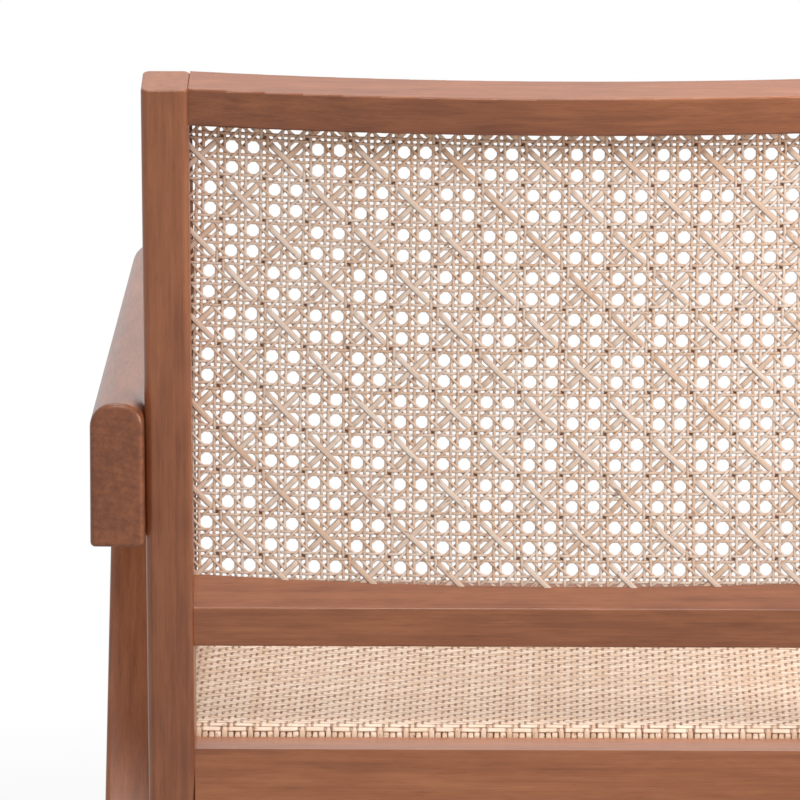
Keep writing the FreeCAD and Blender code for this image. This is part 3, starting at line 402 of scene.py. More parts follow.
@dataclass(frozen=True)
class Cane:
    """Natural rattan cane: a smooth pale face, brown edges that are partly its own colour and partly painted
    shade on the rounded sides, and painted shade where it tucks under its neighbours.
    """

    name: str
    tones: CaneTones
    direction: Triple
    # shade sets the painted shade where a strand tucks under; rim sets the brown edge, which is partly
    # painted shade
    shade: float = 0.55
    rim: float = 0.75
    roughness: float = 0.46
    sheen: float = 0.22
    tone_weight: float = 0.55
    tone_lift: float = 0.1
    edge_power: float = 1.6
    shade_power: float = 1.5
    fibres: Layer = Layer(60.0, 3200.0, 3.0, 0.6, 0.6)
    bloom: Layer = Layer(38.0, 240.0, 3.0, 0.55, 0.9)
    spots: Layer = Layer(150.0, 420.0, 2.0, weight=0.5)
    spot_edge: tuple[float, float] = (0.63, 0.72)
    rim_fibres: float = 0.2
    bloom_gloss: float = 0.2
    relief_depth: float = 0.00006
    relief_strength: float = 0.6

    def material(self) -> bpy.types.Material:
        """Make the finish for the strands that run one way.

        Returns:
            The material.
        """
        graph = Graph.of_material(self.name)
        place = graph.position()
        axis = unit(self.direction)
        across = unit(axis.orthogonal())
        axes = tuple(graph.along(place, way) for way in (axis, across, axis.cross(across)))
        fibres, bloom, specks = (graph.layer(layer, axes) for layer in (self.fibres, self.bloom, self.spots))
        spots = graph.step(specks, self.spot_edge)

        marks = graph.node("ShaderNodeAttribute", {"attribute_name": "strand"}, output="Vector")
        tone = graph.node("ShaderNodeSeparateXYZ", None, {0: marks})
        edge, tuck = tone.beside("Y"), tone.beside("Z")

        tanned = tone * self.tone_weight + self.tone_lift
        tanned = tanned + fibres.swing(self.fibres.weight) + bloom.swing(self.bloom.weight)
        # brown edge: partly the cane's own colour, partly painted shade on the strand's rounded sides
        rim = edge ** self.edge_power * self.rim + fibres.swing(self.rim_fibres)
        # painted shade where the strand is tucked under its neighbours, in the dark spot colour
        shaded = tuck ** self.shade_power * self.shade
        colour = graph.mix(tanned.limited(), stain(self.tones.pale), stain(self.tones.tan))
        colour = graph.mix(rim.limited(), colour, stain(self.tones.edge))
        colour = graph.mix(shaded.limited(), colour, stain(self.tones.spot_and_shade))
        colour = graph.mix(spots * self.spots.weight, colour, stain(self.tones.spot_and_shade))
        return graph.finish(Base_Color=colour, Roughness=self.roughness + bloom.swing(self.bloom_gloss),
                            Normal=graph.bump(fibres, self.relief_depth, self.relief_strength),
                            Specular_IOR_Level=self.sheen)


@dataclass(frozen=True)
class Reed:
    """Split reed pressed into the grooves beside the cane."""

    name: str
    light: Colour
    dark: Colour
    roughness: float = 0.5
    gloss: float = 0.2
    fibre_scale: Triple = (500.0, 500.0, 500.0)
    fibre_weight: float = 0.6
    bloom_scale: Triple = (60.0, 60.0, 60.0)
    bloom_weight: float = 0.5
    relief_depth: float = 0.00015
    relief_strength: float = 0.6

    def material(self) -> bpy.types.Material:
        """Make the finish.

        Returns:
            The material.
        """
        graph = Graph.of_material(self.name)
        place = graph.position()
        fibres = graph.noise(graph.scaled(place, self.fibre_scale), 4.0, 0.7)
        bloom = graph.noise(graph.scaled(place, self.bloom_scale))
        share = (fibres * self.fibre_weight + bloom * self.bloom_weight).limited()
        return graph.finish(Base_Color=graph.mix(share, stain(self.light), stain(self.dark)),
                            Roughness=self.roughness + bloom.swing(self.gloss),
                            Normal=graph.bump(fibres, self.relief_depth, self.relief_strength))


@dataclass(frozen=True)
class Metal:
    """Plated steel or brass with fine turning marks."""

    name: str
    colour: Colour
    stained: Colour
    roughness: float
    gloss: float = 0.2
    turning_scale: Triple = (3000.0, 400.0, 3000.0)
    bloom_scale: Triple = (180.0, 180.0, 180.0)
    bloom_weight: float = 0.8
    relief_depth: float = 0.00004
    relief_strength: float = 0.5

    def material(self) -> bpy.types.Material:
        """Make the finish.

        Returns:
            The material.
        """
        graph = Graph.of_material(self.name)
        place = graph.position()
        turning = graph.noise(graph.scaled(place, self.turning_scale))
        bloom = graph.noise(graph.scaled(place, self.bloom_scale), 3.0)
        share = (bloom * self.bloom_weight).limited()
        return graph.finish(Base_Color=graph.mix(share, stain(self.colour), stain(self.stained)),
                            Metallic=1.0, Roughness=self.roughness + turning.swing(self.gloss),
                            Normal=graph.bump(turning, self.relief_depth, self.relief_strength))


@dataclass(frozen=True)
class Nylon:
    """Moulded dark nylon with a fine spark texture and scuffs underneath."""

    name: str
    colour: Colour
    scuff: Colour
    roughness: float = 0.55
    gloss: float = 0.2
    spark_scale: Triple = (2600.0, 2600.0, 2600.0)
    scuff_scale: Triple = (900.0, 160.0, 160.0)
    scuff_edge: tuple[float, float] = (0.55, 0.75)
    scuff_weight: float = 0.5
    relief_depth: float = 0.00005
    relief_strength: float = 0.6

    def material(self) -> bpy.types.Material:
        """Make the finish.

        Returns:
            The material.
        """
        graph = Graph.of_material(self.name)
        place = graph.position()
        spark = graph.noise(graph.scaled(place, self.spark_scale))
        scuffs = graph.step(graph.noise(graph.scaled(place, self.scuff_scale), 3.0), self.scuff_edge)
        colour = graph.mix(scuffs * self.scuff_weight, stain(self.colour), stain(self.scuff))
        return graph.finish(Base_Color=colour, Roughness=self.roughness + spark.swing(self.gloss),
                            Normal=graph.bump(spark, self.relief_depth, self.relief_strength))


@dataclass
class BackSheet:
    """The bowed plane of the back's cane, measured across the chair and up the back."""

    middle_depth: float = -0.02085
    half_width: float = 0.2302
    low: float = 0.0953
    high: float = 0.3945
    low_bow: float = 0.0057
    high_bow: float = 0.018
    hand: float = 1.0

    def base(self, across: np.ndarray, rise: np.ndarray) -> np.ndarray:
        """Give the middle of the sheet.

        Args:
            across: places across the chair.
            rise: places up the back.

        Returns:
            Points in the chair's frame, one row of three for each place.
        """
        bow = self.low_bow + (self.high_bow - self.low_bow) * (rise - self.low) / (self.high - self.low)
        radius = (self.half_width ** 2 + bow ** 2) / (2 * bow)
        depth = self.middle_depth + np.sqrt(radius ** 2 - across ** 2) - (radius - bow)
        return np.stack([across + 0 * rise,
                         DATUM[0] + depth * math.cos(RECLINE) + rise * math.sin(RECLINE),
                         DATUM[1] - depth * math.sin(RECLINE) + rise * math.cos(RECLINE)], -1)


@dataclass
class SeatSheet:
    """The crowned seat cane, measured along the cane itself from the seat's middle."""

    half_width: float = 0.2386
    front: float = -0.4329
    rear: float = -0.0361
    crown: float = 0.0064
    slope: float = 0.80
    shoulder: float = 0.0026
    tuck: float = 0.0066
    sag: float = 0.0045
    sag_power: float = 0.8
    corner_blend: float = 1e-7
    crown_steps: int = 600
    tuck_steps: int = 12
    hand: float = -1.0

    def profile(self, half: float) -> tuple[np.ndarray, np.ndarray, np.ndarray]:
        """Trace the cane from the seat's middle to its edge.

        Args:
            half: distance from the middle to the edge.

        Returns:
            Length along the cane, distance from the middle and height, at each point traced.
        """
        inward = np.linspace(half, 0.0, self.crown_steps)
        ramp = inward * self.slope
        height = 0.5 * (ramp + self.crown - np.sqrt((ramp - self.crown) ** 2 + self.shoulder ** 2))
        place = half - inward
        drop = np.linspace(0.0, self.tuck, self.tuck_steps)[1:]
        place = np.concatenate([place, np.full(drop.size, half)])
        height = np.concatenate([height, height[-1] - drop])
        length = np.concatenate([[0.0], np.cumsum(np.hypot(np.diff(place), np.diff(height)))])
        return length, place, height

    def reach(self, half: float) -> float:
        """Give the length of cane from the middle to the end of its tuck."""
        return float(self.profile(half)[0][-1])

    @property
    def half_depth(self) -> float:
        """Half the seat cane's depth."""
        return (self.rear - self.front) / 2

    def base(self, across: np.ndarray, back: np.ndarray) -> np.ndarray:
        """Give the middle of the cane.

        Args:
            across: lengths of cane across the chair, from its middle.
            back: lengths of cane towards the rear, from its middle.

        Returns:
            Points in the chair's frame, one row of three for each place.
        """
        length, place, height = self.profile(self.half_width)
        x = np.sign(across) * np.interp(np.abs(across), length, place)
        side_height = np.interp(np.abs(across), length, height)
        length, place, height = self.profile(self.half_depth)
        y = np.sign(back) * np.interp(np.abs(back), length, place)
        end_height = np.interp(np.abs(back), length, height)
        apart = np.sqrt((side_height - end_height) ** 2 + self.corner_blend)
        level = 0.5 * (side_height + end_height - apart)
        hollow = (1 - (x / self.half_width) ** 2).clip(0) * (1 - (y / self.half_depth) ** 2).clip(0)
        level = level - self.sag * hollow ** self.sag_power
        depth = y + (self.rear + self.front) / 2
        return np.stack([x + 0 * y,
                         DATUM[0] + depth * math.cos(SEAT_SLOPE) + level * math.sin(SEAT_SLOPE),
                         DATUM[1] - depth * math.sin(SEAT_SLOPE) + level * math.cos(SEAT_SLOPE)], -1)


class Strands:
    """Cane strands of one family, gathered into one mesh.

    A strand has six corners: SECTION holds their places as shares of its width and thickness, and
    SECTION_EDGE how much each takes the strand's brown edge, which is partly painted shade. SWAYS
    holds how far a strand wanders sideways and over what length.
    """

    SECTION = np.array([(0.5, 0.0), (0.29, 0.5), (-0.29, 0.5), (-0.5, 0.0), (-0.29, -0.5), (0.29, -0.5)])
    SECTION_EDGE = np.array([1.0, 0.22, 0.22, 1.0, 0.22, 0.22])
    SWAYS = ((0.00011, 0.083), (0.00007, 0.037))
    WIDTH_SHARES = (0.93, 1.07)
    NORMAL_STEP = 1e-4

    def __init__(self, sheet: BackSheet | SeatSheet, thickness: float, seed: int) -> None:
        """Start with no strands.

        Args:
            sheet: the surface that they lie on.
            thickness: thickness of a strand.
            seed: seed of their small differences.
        """
        self.sheet = sheet
        self.thickness = thickness
        self.random = np.random.default_rng(SEED + seed)
        self.points: list[np.ndarray] = []
        self.faces: list[np.ndarray] = []
        self.ends: list[list[int]] = []
        self.marks: list[np.ndarray] = []
        self.count = 0

    def raised(self, u: np.ndarray, v: np.ndarray, height: np.ndarray) -> np.ndarray:
        """Give points at a height over the sheet, by its own normal.

        Args:
            u: places across the chair.
            v: places along the sheet's other direction.
            height: height over the sheet at each place.

        Returns:
            Points in the chair's frame, one row of three for each place.
        """
        small = self.NORMAL_STEP
        along_u = self.sheet.base(u + small, v) - self.sheet.base(u - small, v)
        along_v = self.sheet.base(u, v + small) - self.sheet.base(u, v - small)
        normal = np.cross(along_v, along_u) * self.sheet.hand
        normal /= np.linalg.norm(normal, axis=-1, keepdims=True)
        return self.sheet.base(u, v) + normal * height[..., None]

    def lay(self, u: np.ndarray, v: np.ndarray, height: np.ndarray, width: np.ndarray | float,
            shade: np.ndarray, tint: np.ndarray) -> None:
        """Lay one strand.

        Args:
            u: places across the chair.
            v: places along the sheet's other direction.
            height: height over the sheet at each place.
            width: width of the strand, one for all or one for each place.
            shade: how much painted shade its rear face gets where it is tucked in, at each place, 0 to 1.
            tint: how much browner than its own tone it is at each place, from random stripes and from
                painted shade near the rails.
        """
        way = np.array([u[-1] - u[0], v[-1] - v[0]])
        way /= np.linalg.norm(way)
        side = np.array([way[1], -way[0]]) * self.sheet.hand
        run = np.hypot(u - u[0], v - v[0])
        phases = self.random.uniform(0, 2 * math.pi, len(self.SWAYS))
        sway = sum(size * np.sin(run * 2 * math.pi / length + phase)
                   for (size, length), phase in zip(self.SWAYS, phases))
        width = width * np.full(run.size, self.random.uniform(*self.WIDTH_SHARES))
        offset = self.SECTION[None, :, 0] * width[:, None] + sway[:, None]
        lift = height[:, None] + self.SECTION[None, :, 1] * self.thickness
        points = self.raised(u[:, None] + side[0] * offset, v[:, None] + side[1] * offset, lift)

        rings, corners = len(u), len(self.SECTION)
        first = self.count + np.arange(rings - 1)[:, None] * corners
        here = first + np.arange(corners)
        nearby = first + (np.arange(corners) + 1) % corners
        self.faces.append(np.stack([here, nearby, nearby + corners, here + corners], -1).reshape(-1, 4))
        last = self.count + (rings - 1) * corners
        self.ends.append(list(range(self.count + corners - 1, self.count - 1, -1)))
        self.ends.append(list(range(last, last + corners)))

        # painted shade, kept on the upper half of the section as the strand's third mark
        tuck = np.where(self.SECTION[None, :, 1] >= 0, shade[:, None], 0.0)
        tone = np.broadcast_to((self.random.uniform(0, 1) + tint)[:, None], (rings, corners))
        edge = np.broadcast_to(self.SECTION_EDGE, (rings, corners))
        self.marks.append(np.stack([tone, edge, tuck], -1).reshape(-1, 3))
        self.points.append(points.reshape(-1, 3))
        self.count += rings * corners

    def piece(self, name: str, slot: str, finish: Cane) -> bpy.types.Object:
        """Make the mesh of all the strands laid so far.

        Args:
            name: the piece's name.
            slot: the record's material slot; not used.
            finish: the cane's finish.

        Returns:
            The piece, riding on the chair.
        """
        mesh = bpy.data.meshes.new(name)
        faces = np.concatenate(self.faces).tolist() + self.ends
        mesh.from_pydata(np.concatenate(self.points).tolist(), [], faces)
        mesh.shade_smooth()
        attribute = mesh.attributes.new("strand", "FLOAT_VECTOR", "POINT")
        attribute.data.foreach_set("vector", np.concatenate(self.marks).astype(np.float32).ravel())
        mesh.materials.append(finish.material())
        made = bpy.data.objects.new(name, mesh)
        bpy.context.scene.collection.objects.link(made)
        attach(made, BODY)
        log.info("%s: %d strands, %d faces", name, len(self.ends) // 2, len(faces))
        return made


class Slant(Enum):
    """The way a diagonal strand runs, as seen from behind the chair."""

    FALLING = 1
    RISING = -1


@dataclass
class OpenCaneBack:
    """The back's open weave: pairs up and across, thin diagonals, and wide ones through every other four.

    Places in the weave are counted in meshes from one corner, to the right and down as seen from
    behind. The pitches are its real sizes, and the shears, fan, curl and sag its small distortions.
    """

    sheet: BackSheet = field(default_factory=BackSheet)
    tones: CaneTones = CaneTones((250, 231, 215), (223, 181, 147), (160, 107, 74), (92, 50, 28))
    columns: range = range(-20, 26)
    rows: range = range(-12, 18)
    stations: int = 8
    pitch_across: float = 0.0126645
    pitch_down: float = 0.0130295
    shear_across: float = 0.0002205
    shear_down: float = -0.0000285
    fan: float = 0.000579
    curl: float = -7.7e-7
    sag: float = 0.0000143
    corner_across: float = 0.032134
    corner_rise: float = 0.276060
    reach: float = 0.2294
    lowest: float = 0.0965
    highest: float = 0.3938
    # painted shade and painted warm reflection from the wood: the cane browns over this band below the top
    # rail
    shade_band: float = 0.040
    shade_tint: float = 0.9
    thickness: float = 0.0006
    upright_seed: int = 1
    upright_gap: float = 0.150
    upright_width: float = 0.00184
    cross_seed: int = 2
    cross_gap: float = 0.135
    cross_width: float = 0.00188
    pair_swing: float = 0.00034
    thin_seed: int = 3
    thin_starts: range = range(-45, 46)
    thin_offset: float = 0.5
    thin_width: float = 0.00176
    thin_swing: float = 0.00060
    wide_seed: int = 5
    wide_starts: range = range(-44, 45, 4)
    wide_stations: int = 16
    wide_every: int = 2
    wide_width: float = 0.0036
    wide_thickness: float = 0.00045
    wide_bottom: float = 0.00072
    falling_top: float = 0.00112
    rising_top: float = 0.00062
    wide_level: float = 0.17
    wide_climb: float = 0.26
    # painted shade: the wide strands go dark where they dive under the pairs at each star's corners
    wide_shade: float = 0.97
    shade_start: float = 1.35
    shade_run: float = 0.08

    def place(self, column: np.ndarray, row: np.ndarray) -> tuple[np.ndarray, np.ndarray]:
        """Turn places in the weave, counted in meshes, into places on the sheet.

        Args:
            column: meshes to the right, as seen from behind.
            row: meshes down.

        Returns:
            Places across the chair and up the back.
        """
        across = self.corner_across - self.pitch_across * column * (1 + self.fan * row)
        across = across + self.shear_across * row + self.curl * row ** 3
        rise = self.corner_rise + self.shear_down * column - self.pitch_down * row - self.sag * row ** 2
        return across, rise

    def inside(self, column: np.ndarray, row: np.ndarray) -> np.ndarray:
        """Say which places of the weave lie within the grooves."""
        across, rise = self.place(column, row)
        return (np.abs(across) <= self.reach) & (rise >= self.lowest) & (rise <= self.highest)

    def run(self, strands: Strands, column: np.ndarray, row: np.ndarray, height: np.ndarray, width: float,
            shade: np.ndarray) -> None:
        """Lay a strand along a line of the weave, as far as it lies within the grooves.

        Args:
            strands: the family that it belongs to.
            column: its places to the right, in meshes.
            row: its places down, in meshes.
            height: its height over the sheet at each place.
            width: its width.
            shade: how much painted shade it gets at each place where it is tucked in, 0 to 1.
        """
        kept = self.inside(column, row)
        if kept.sum() > 2:
            across, rise = self.place(column[kept], row[kept])
            # painted shade and painted warm reflection: browner towards the top rail
            tint = self.shade_tint * ((rise - self.highest + self.shade_band) / self.shade_band).clip(0, 1)
            strands.lay(across, rise, height[kept], width, shade[kept], tint)

    def line(self, span: range, steps: int) -> np.ndarray:
        """Give even stations over a span of meshes, with a number of steps in each."""
        return np.arange(span[0] * steps, span[-1] * steps + 1) / steps

    def pair_height(self, place: np.ndarray, parity: int, gap: float) -> np.ndarray:
        """Give the height of a strand of a pair as it passes over one strand and under the next.

        Args:
            place: place along the strand in meshes, with crossing pairs at whole numbers.
            parity: 0 or 1, for the strands that start over and under.
            gap: half the distance between the crossing pair's strands.

        Returns:
            The height at each place.
        """
        near = place - np.round(place)
        wave = -np.sin(math.pi * near / (2 * gap)) * np.where(np.abs(near) < 2 * gap, 1.0, 0.0)
        return wave * self.pair_swing * (1 if parity == 0 else -1)

    def under(self, height: np.ndarray, swing: float) -> np.ndarray:
        """Say how far under its neighbours a strand is, 0 to 1."""
        # this share is laid as painted shade where the strand passes under
        return (-height / swing).clip(0, 1)

    def from_corner(self, column: np.ndarray) -> np.ndarray:
        """Give how far a wide strand is from the nearest corner that it dives under, in meshes."""
        return np.abs(column - self.wide_every * np.round(column / self.wide_every))

    def wide_height(self, column: np.ndarray, top: float) -> np.ndarray:
        """Give the height of a wide strand: on top across a star of four, under the pairs at its corners.

        Args:
            column: its places to the right, in meshes.
            top: its height across the star.

        Returns:
            The height at each place.
        """
        rise = ((self.from_corner(column) - self.wide_level) / self.wide_climb).clip(0, 1)
        rise = rise * rise * (3 - 2 * rise)
        return -self.wide_bottom + (top + self.wide_bottom) * rise

    def weave_uprights(self) -> None:
        """Weave the pairs that run up the back."""
        strands = Strands(self.sheet, self.thickness, self.upright_seed)
        row = self.line(self.rows, self.stations)
        for column in self.columns:
            for parity, gap in enumerate((-self.upright_gap, self.upright_gap)):
                height = self.pair_height(row, parity, self.cross_gap)
                self.run(strands, np.full(row.size, column + gap), row, height, self.upright_width,
                         self.under(height, self.pair_swing))
        finish = Cane("cane_upright", self.tones, UP_THE_BACK)
        piece = strands.piece("back_cane_uprights", "back_cane", finish)
        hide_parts("back_cane")

    def weave_crossings(self) -> None:
        """Weave the pairs that run across the back."""
        strands = Strands(self.sheet, self.thickness, self.cross_seed)
        column = self.line(self.columns, self.stations)
        for row in self.rows:
            for parity, gap in enumerate((-self.cross_gap, self.cross_gap)):
                height = self.pair_height(column, 1 - parity, self.upright_gap)
                self.run(strands, column, np.full(column.size, row + gap), height, self.cross_width,
                         self.under(height, self.pair_swing))
        strands.piece("back_cane_crossings", "back_cane", Cane("cane_crossing", self.tones, ACROSS))

    def weave_diagonals(self, slant: Slant, seed: int) -> None:
        """Weave the thin and the wide strands that run one way across the pairs.

        Args:
            slant: the way they run.
            seed: number of the way, which sets the strands' small differences.
        """
        thin = Strands(self.sheet, self.thickness, self.thin_seed + seed)
        column = self.line(self.columns, self.stations)
        height = slant.value * self.thin_swing * np.cos(2 * math.pi * column)
        for start in self.thin_starts:
            row = slant.value * (column - start - self.thin_offset)
            self.run(thin, column, row, height, self.thin_width, self.under(height, self.thin_swing))

        wide = Strands(self.sheet, self.wide_thickness, self.wide_seed + seed)
        falling = slant is Slant.FALLING
        column = self.line(self.columns, self.wide_stations)
        height = self.wide_height(column, self.falling_top if falling else self.rising_top)
        # painted shade, darkest at the corners where the wide strand dives under the pairs
        shade = (self.shade_start - self.from_corner(column) / self.shade_run).clip(0, 1)
        for start in self.wide_starts:
            row = column - start if falling else start + self.wide_every - column
            self.run(wide, column, row, height, self.wide_width, shade)

        name = slant.name.lower()
        direction = (-1.0, -slant.value * UP_THE_BACK[1], -slant.value * UP_THE_BACK[2])
        thin.piece(f"back_cane_thin_{name}", "back_cane", Cane(f"cane_thin_{name}", self.tones, direction))
        wide.piece(f"back_cane_wide_{name}", "back_cane",
                   Cane(f"cane_wide_{name}", self.tones, direction, self.wide_shade))

    def build(self) -> None:
        """Weave the back and dress it."""
        self.weave_uprights()
        self.weave_crossings()
        for seed, slant in enumerate(Slant):
            self.weave_diagonals(slant, seed)


class Way(Enum):
    """The way a strand of the seat runs, with the side on which it starts."""

    CROSSWISE = 1
    LENGTHWISE = -1


@dataclass
class TwillCaneSeat:
    """The seat's close weave: a crosswise strand floats over three lengthwise ones and under the fourth.

    The steps are a strand's stations from one place where it passes under to the next, in crossings.
    """

    sheet: SeatSheet = field(default_factory=SeatSheet)
    tones: CaneTones = CaneTones((248, 227, 206), (222, 185, 152), (194, 149, 114), (122, 66, 34))
    # shade, cross_shades and length_shade set the painted shade of the dark dots beside each stub and of the
    # gaps between floats
    shade: float = 0.95
    rim: float = 0.5
    seed: int = 30
    strand_seed: int = 11
    pitch: float = 0.00388
    end_gap: float = 0.0004
    cross_width: float = 0.0038
    cross_rows_left_out: int = 3
    cross_shades: tuple[float, float] = (0.5, 1.0)
    length_width: float = 0.0026
    length_shade: float = 0.3
    end_width: float = 0.0037
    end_crossings: float = 2.8
    # painted shade: the cane browns over this band where it rolls down into the front and rear grooves
    shade_band: float = 0.014
    shade_tint: float = 1.1
    stripe_tint: float = 0.35
    thickness: float = 0.00045
    swing: float = 0.00024
    repeat: int = 4
    dip: float = 0.85
    steps: tuple[float, ...] = (-0.85, -0.62, -0.36, 0.0, 0.36, 0.62, 0.85, 2.0)
    float_share: float = -0.75

    def stations(self, low: int, high: int, first: int) -> tuple[np.ndarray, np.ndarray]:
        """Give the stations of a strand and how far under its neighbours it is at each.

        Args:
            low: first crossing.
            high: last crossing.
            first: a crossing at which the strand passes under.

        Returns:
            Stations counted in crossings, and 1 where the strand is under and -1 where it is over.
        """
        start = low - (low - first) % self.repeat
        places = [crossing + step for crossing in range(start, high + 1, self.repeat) for step in self.steps]
        under = [math.cos(math.pi * min(abs(step) / self.dip, 1.0)) for step in self.steps]
        return np.array(places), np.tile(under, len(places) // len(self.steps))

    def weave(self, way: Way, seed: int, random: np.random.Generator, stripes: np.ndarray) -> None:
        """Weave and dress the strands that run one way, in two pieces of every other strand.

        Args:
            way: the way they run.
            seed: number of the way, which sets the strands' small differences.
            random: where the depth of the shade comes from.
            stripes: tints of the strands that they cross, -1 to 1.
        """
        crosswise = way is Way.CROSSWISE
        reach_across = self.sheet.reach(self.sheet.half_width) - self.end_gap
        reach_back = self.sheet.reach(self.sheet.half_depth) - self.end_gap
        across_count, back_count = int(reach_across / self.pitch), int(reach_back / self.pitch)
        reach, crossings = (reach_across, across_count) if crosswise else (reach_back, back_count)
        count = back_count - self.cross_rows_left_out if crosswise else across_count
        first_seed = self.strand_seed + 2 * seed
        halves = [Strands(self.sheet, self.thickness, first_seed + half) for half in range(2)]
        for index in range(-count, count + 1):
            places, under = self.stations(-crossings, crossings, index)
            kept = np.abs(places * self.pitch) <= reach
            run = np.concatenate([[-reach], places[kept] * self.pitch, [reach]])
            share = np.concatenate([[0.0], under[kept], [0.0]])
            fixed = np.full(run.size, index * self.pitch)
            if crosswise:
                u, v, width = run, fixed, self.cross_width
                depth = random.uniform(*self.cross_shades, run.size)
            else:
                at_end = np.abs(run) > (back_count - self.end_crossings) * self.pitch
                u, v, width = fixed, run, np.where(at_end, self.end_width, self.length_width)
                depth = self.length_shade
            # painted shade where the strand is under its neighbours, at a random depth on the crosswise
            # strands
            shade = depth * np.where(way.value * share > self.float_share, 1.0, 0.0)
            tint = self.stripe_tint * stripes[np.round(run / self.pitch).astype(int) % stripes.size]
            # painted shade: browner towards the front and rear ends, where the cane rolls down into the
            # grooves
            tint = tint + self.shade_tint * ((np.abs(v) - reach_back + self.shade_band) / self.shade_band).clip(0, 1)
            halves[index % 2].lay(u, v, -way.value * self.swing * share, width, shade, tint)

        direction = ACROSS if crosswise else BACK_ALONG_SEAT
        for half, strands in enumerate(halves):
            name = f"seat_cane_{way.name.lower()}_{half + 1}"
            piece = strands.piece(name, "seat_cane", Cane(name, self.tones, direction, self.shade, self.rim))
            if crosswise and half == 0:
                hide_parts("seat_cane")

    def build(self) -> None:
        """Weave the seat and dress it."""
        random = np.random.default_rng(SEED + self.seed)
        across_count = int((self.sheet.reach(self.sheet.half_width) - self.end_gap) / self.pitch)
        stripes = random.uniform(-1, 1, 2 * across_count + 1)
        for seed, way in enumerate(Way):
            self.weave(way, seed, random, stripes)


def dress(node: str, material: bpy.types.Material) -> None:
    """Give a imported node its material.

    Args:
        node: the node's name.
        material: the material that it gets.
    """
    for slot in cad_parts[node].material_slots:
        slot.material = material
    log.info("%s: %s", node, material.name)


@dataclass
class WoodenFrame:
    """The stained frame, the inner blocks and the dowels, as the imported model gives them.

    The spreads are the ends of what each board draws by chance: how far its pith lies from its
    middle, two ways, the tone of its stain, and how far the noise is shifted along it.
    """

    seed: int = 40
    stained: StainedWood = StainedWood("stained_wood", (114, 64, 39), (150, 90, 57), (178, 114, 76),
                                       (88, 48, 30), roughness=0.38, coat=0.25, sheen=0.32)
    inner: StainedWood = StainedWood("inner_wood", (126, 78, 50), (158, 104, 70), (184, 130, 92),
                                     (100, 58, 38), roughness=0.6, coat=0.0)
    dowel: StainedWood = StainedWood("dowel_wood", (176, 134, 92), (204, 162, 118), (222, 186, 144),
                                     (150, 106, 70), roughness=0.6, coat=0.0)
    side_spread: tuple[float, float] = (-0.03, 0.03)
    deep_spread: tuple[float, float] = (0.05, 0.09)
    tone_spread: tuple[float, float] = (-0.05, 0.05)
    drift_spread: tuple[float, float] = (0.0, 3.0)
    inner_pith: tuple[float, float] = (0.02, 0.45)

    def grains(self) -> dict[str, Grain]:
        """Say how the grain runs in each stained board.

        Returns:
            The grain by the node's name.
        """
        grains = dict.fromkeys(("back_top_rail", "back_lower_rail", "seat_front_rail", "seat_rear_rail"),
                               Grain.ACROSS)
        for side in ("left", "right"):
            grains[f"{side}_back_post"] = Grain.BACK
            grains[f"{side}_arm"] = Grain.DEPTH
            grains[f"{side}_front_leg"] = Grain.FRONT_LEG
            grains[f"{side}_rear_leg"] = Grain.REAR_LEG
            grains[f"{side}_seat_rail"] = Grain.SEAT
        return grains

    def boards(self) -> list[tuple[Board, StainedWood]]:
        """Pair each wooden node with its finish.

        Returns:
            The boards and their finishes.
        """
        random = np.random.default_rng(SEED + self.seed)
        # fixed tones for boards in view, set to how dark each looked: partly their stain, partly painted
        # shade on the darker top rail and left arm and painted light on the lighter seat rear rail
        tones = {"back_top_rail": -0.09, "back_lower_rail": -0.03, "seat_rear_rail": 0.04, "left_arm": -0.16,
                 "left_back_post": 0.0}
        found = []
        for node, grain in self.grains().items():
            low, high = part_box(node)
            middle = (low + high) / 2
            _, side, deep = grain.axes()
            pith = (middle.dot(side) + random.uniform(*self.side_spread),
                    middle.dot(deep) + random.uniform(*self.deep_spread))
            tone = tones.get(node, random.uniform(*self.tone_spread))
            found.append((Board(node, grain, pith, random.uniform(*self.drift_spread), tone), self.stained))
        inners = ["seat_brace"] + [f"{side}_{end}_corner_block" for side in ("left", "right")
                                   for end in ("front", "rear")]
        dowels = ("back_rail_dowels", "seat_rail_dowels", "arm_dowels")
        for nodes, finish in ((inners, self.inner), (dowels, self.dowel)):
            for node in nodes:
                grain = Grain.DEPTH if node == "seat_rail_dowels" else Grain.ACROSS
                board = Board(node, grain, self.inner_pith, random.uniform(*self.drift_spread))
                found.append((board, finish))
        return found

    def build(self) -> None:
        """Dress every wooden node."""
        for board, finish in self.boards():
            dress(board.node, finish.on(board))


@dataclass
class Fittings:
    """Reeds, bolts, inserts, screws and glides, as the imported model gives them."""

    reed: Reed = Reed("spline_reed", (196, 158, 122), (142, 98, 66))
    steel: Metal = Metal("bolt_steel", (190, 189, 186), (150, 148, 144), 0.34)
    brass: Metal = Metal("insert_brass", (218, 184, 122), (178, 138, 78), 0.32)
    screw: Metal = Metal("screw_steel", (192, 182, 148), (160, 146, 104), 0.36)
    nylon: Nylon = Nylon("glide_plastic", (58, 50, 46), (96, 88, 82))

    def build(self) -> None:
        """Dress every fitting."""
        reeds = [f"{side}_back_spline" for side in ("left", "right", "top", "lower")]
        reeds += [f"{side}_seat_spline" for side in ("left", "right", "front", "rear")]
        glides = [f"{side}_{end}_glide" for side in ("left", "right") for end in ("front", "rear")]
        for nodes, finish in ((reeds, self.reed), (("arm_bolts", "leg_bolts"), self.steel),
                              (("arm_inserts", "leg_inserts"), self.brass),
                              (("corner_block_screws",), self.screw), (glides, self.nylon)):
            material = finish.material()
            for node in nodes:
                dress(node, material)


@dataclass(frozen=True)
class Lamp:
    """A soft square lamp: its power, the length of its side and where it hangs."""

    name: str
    watts: float
    size: float
    place: Triple


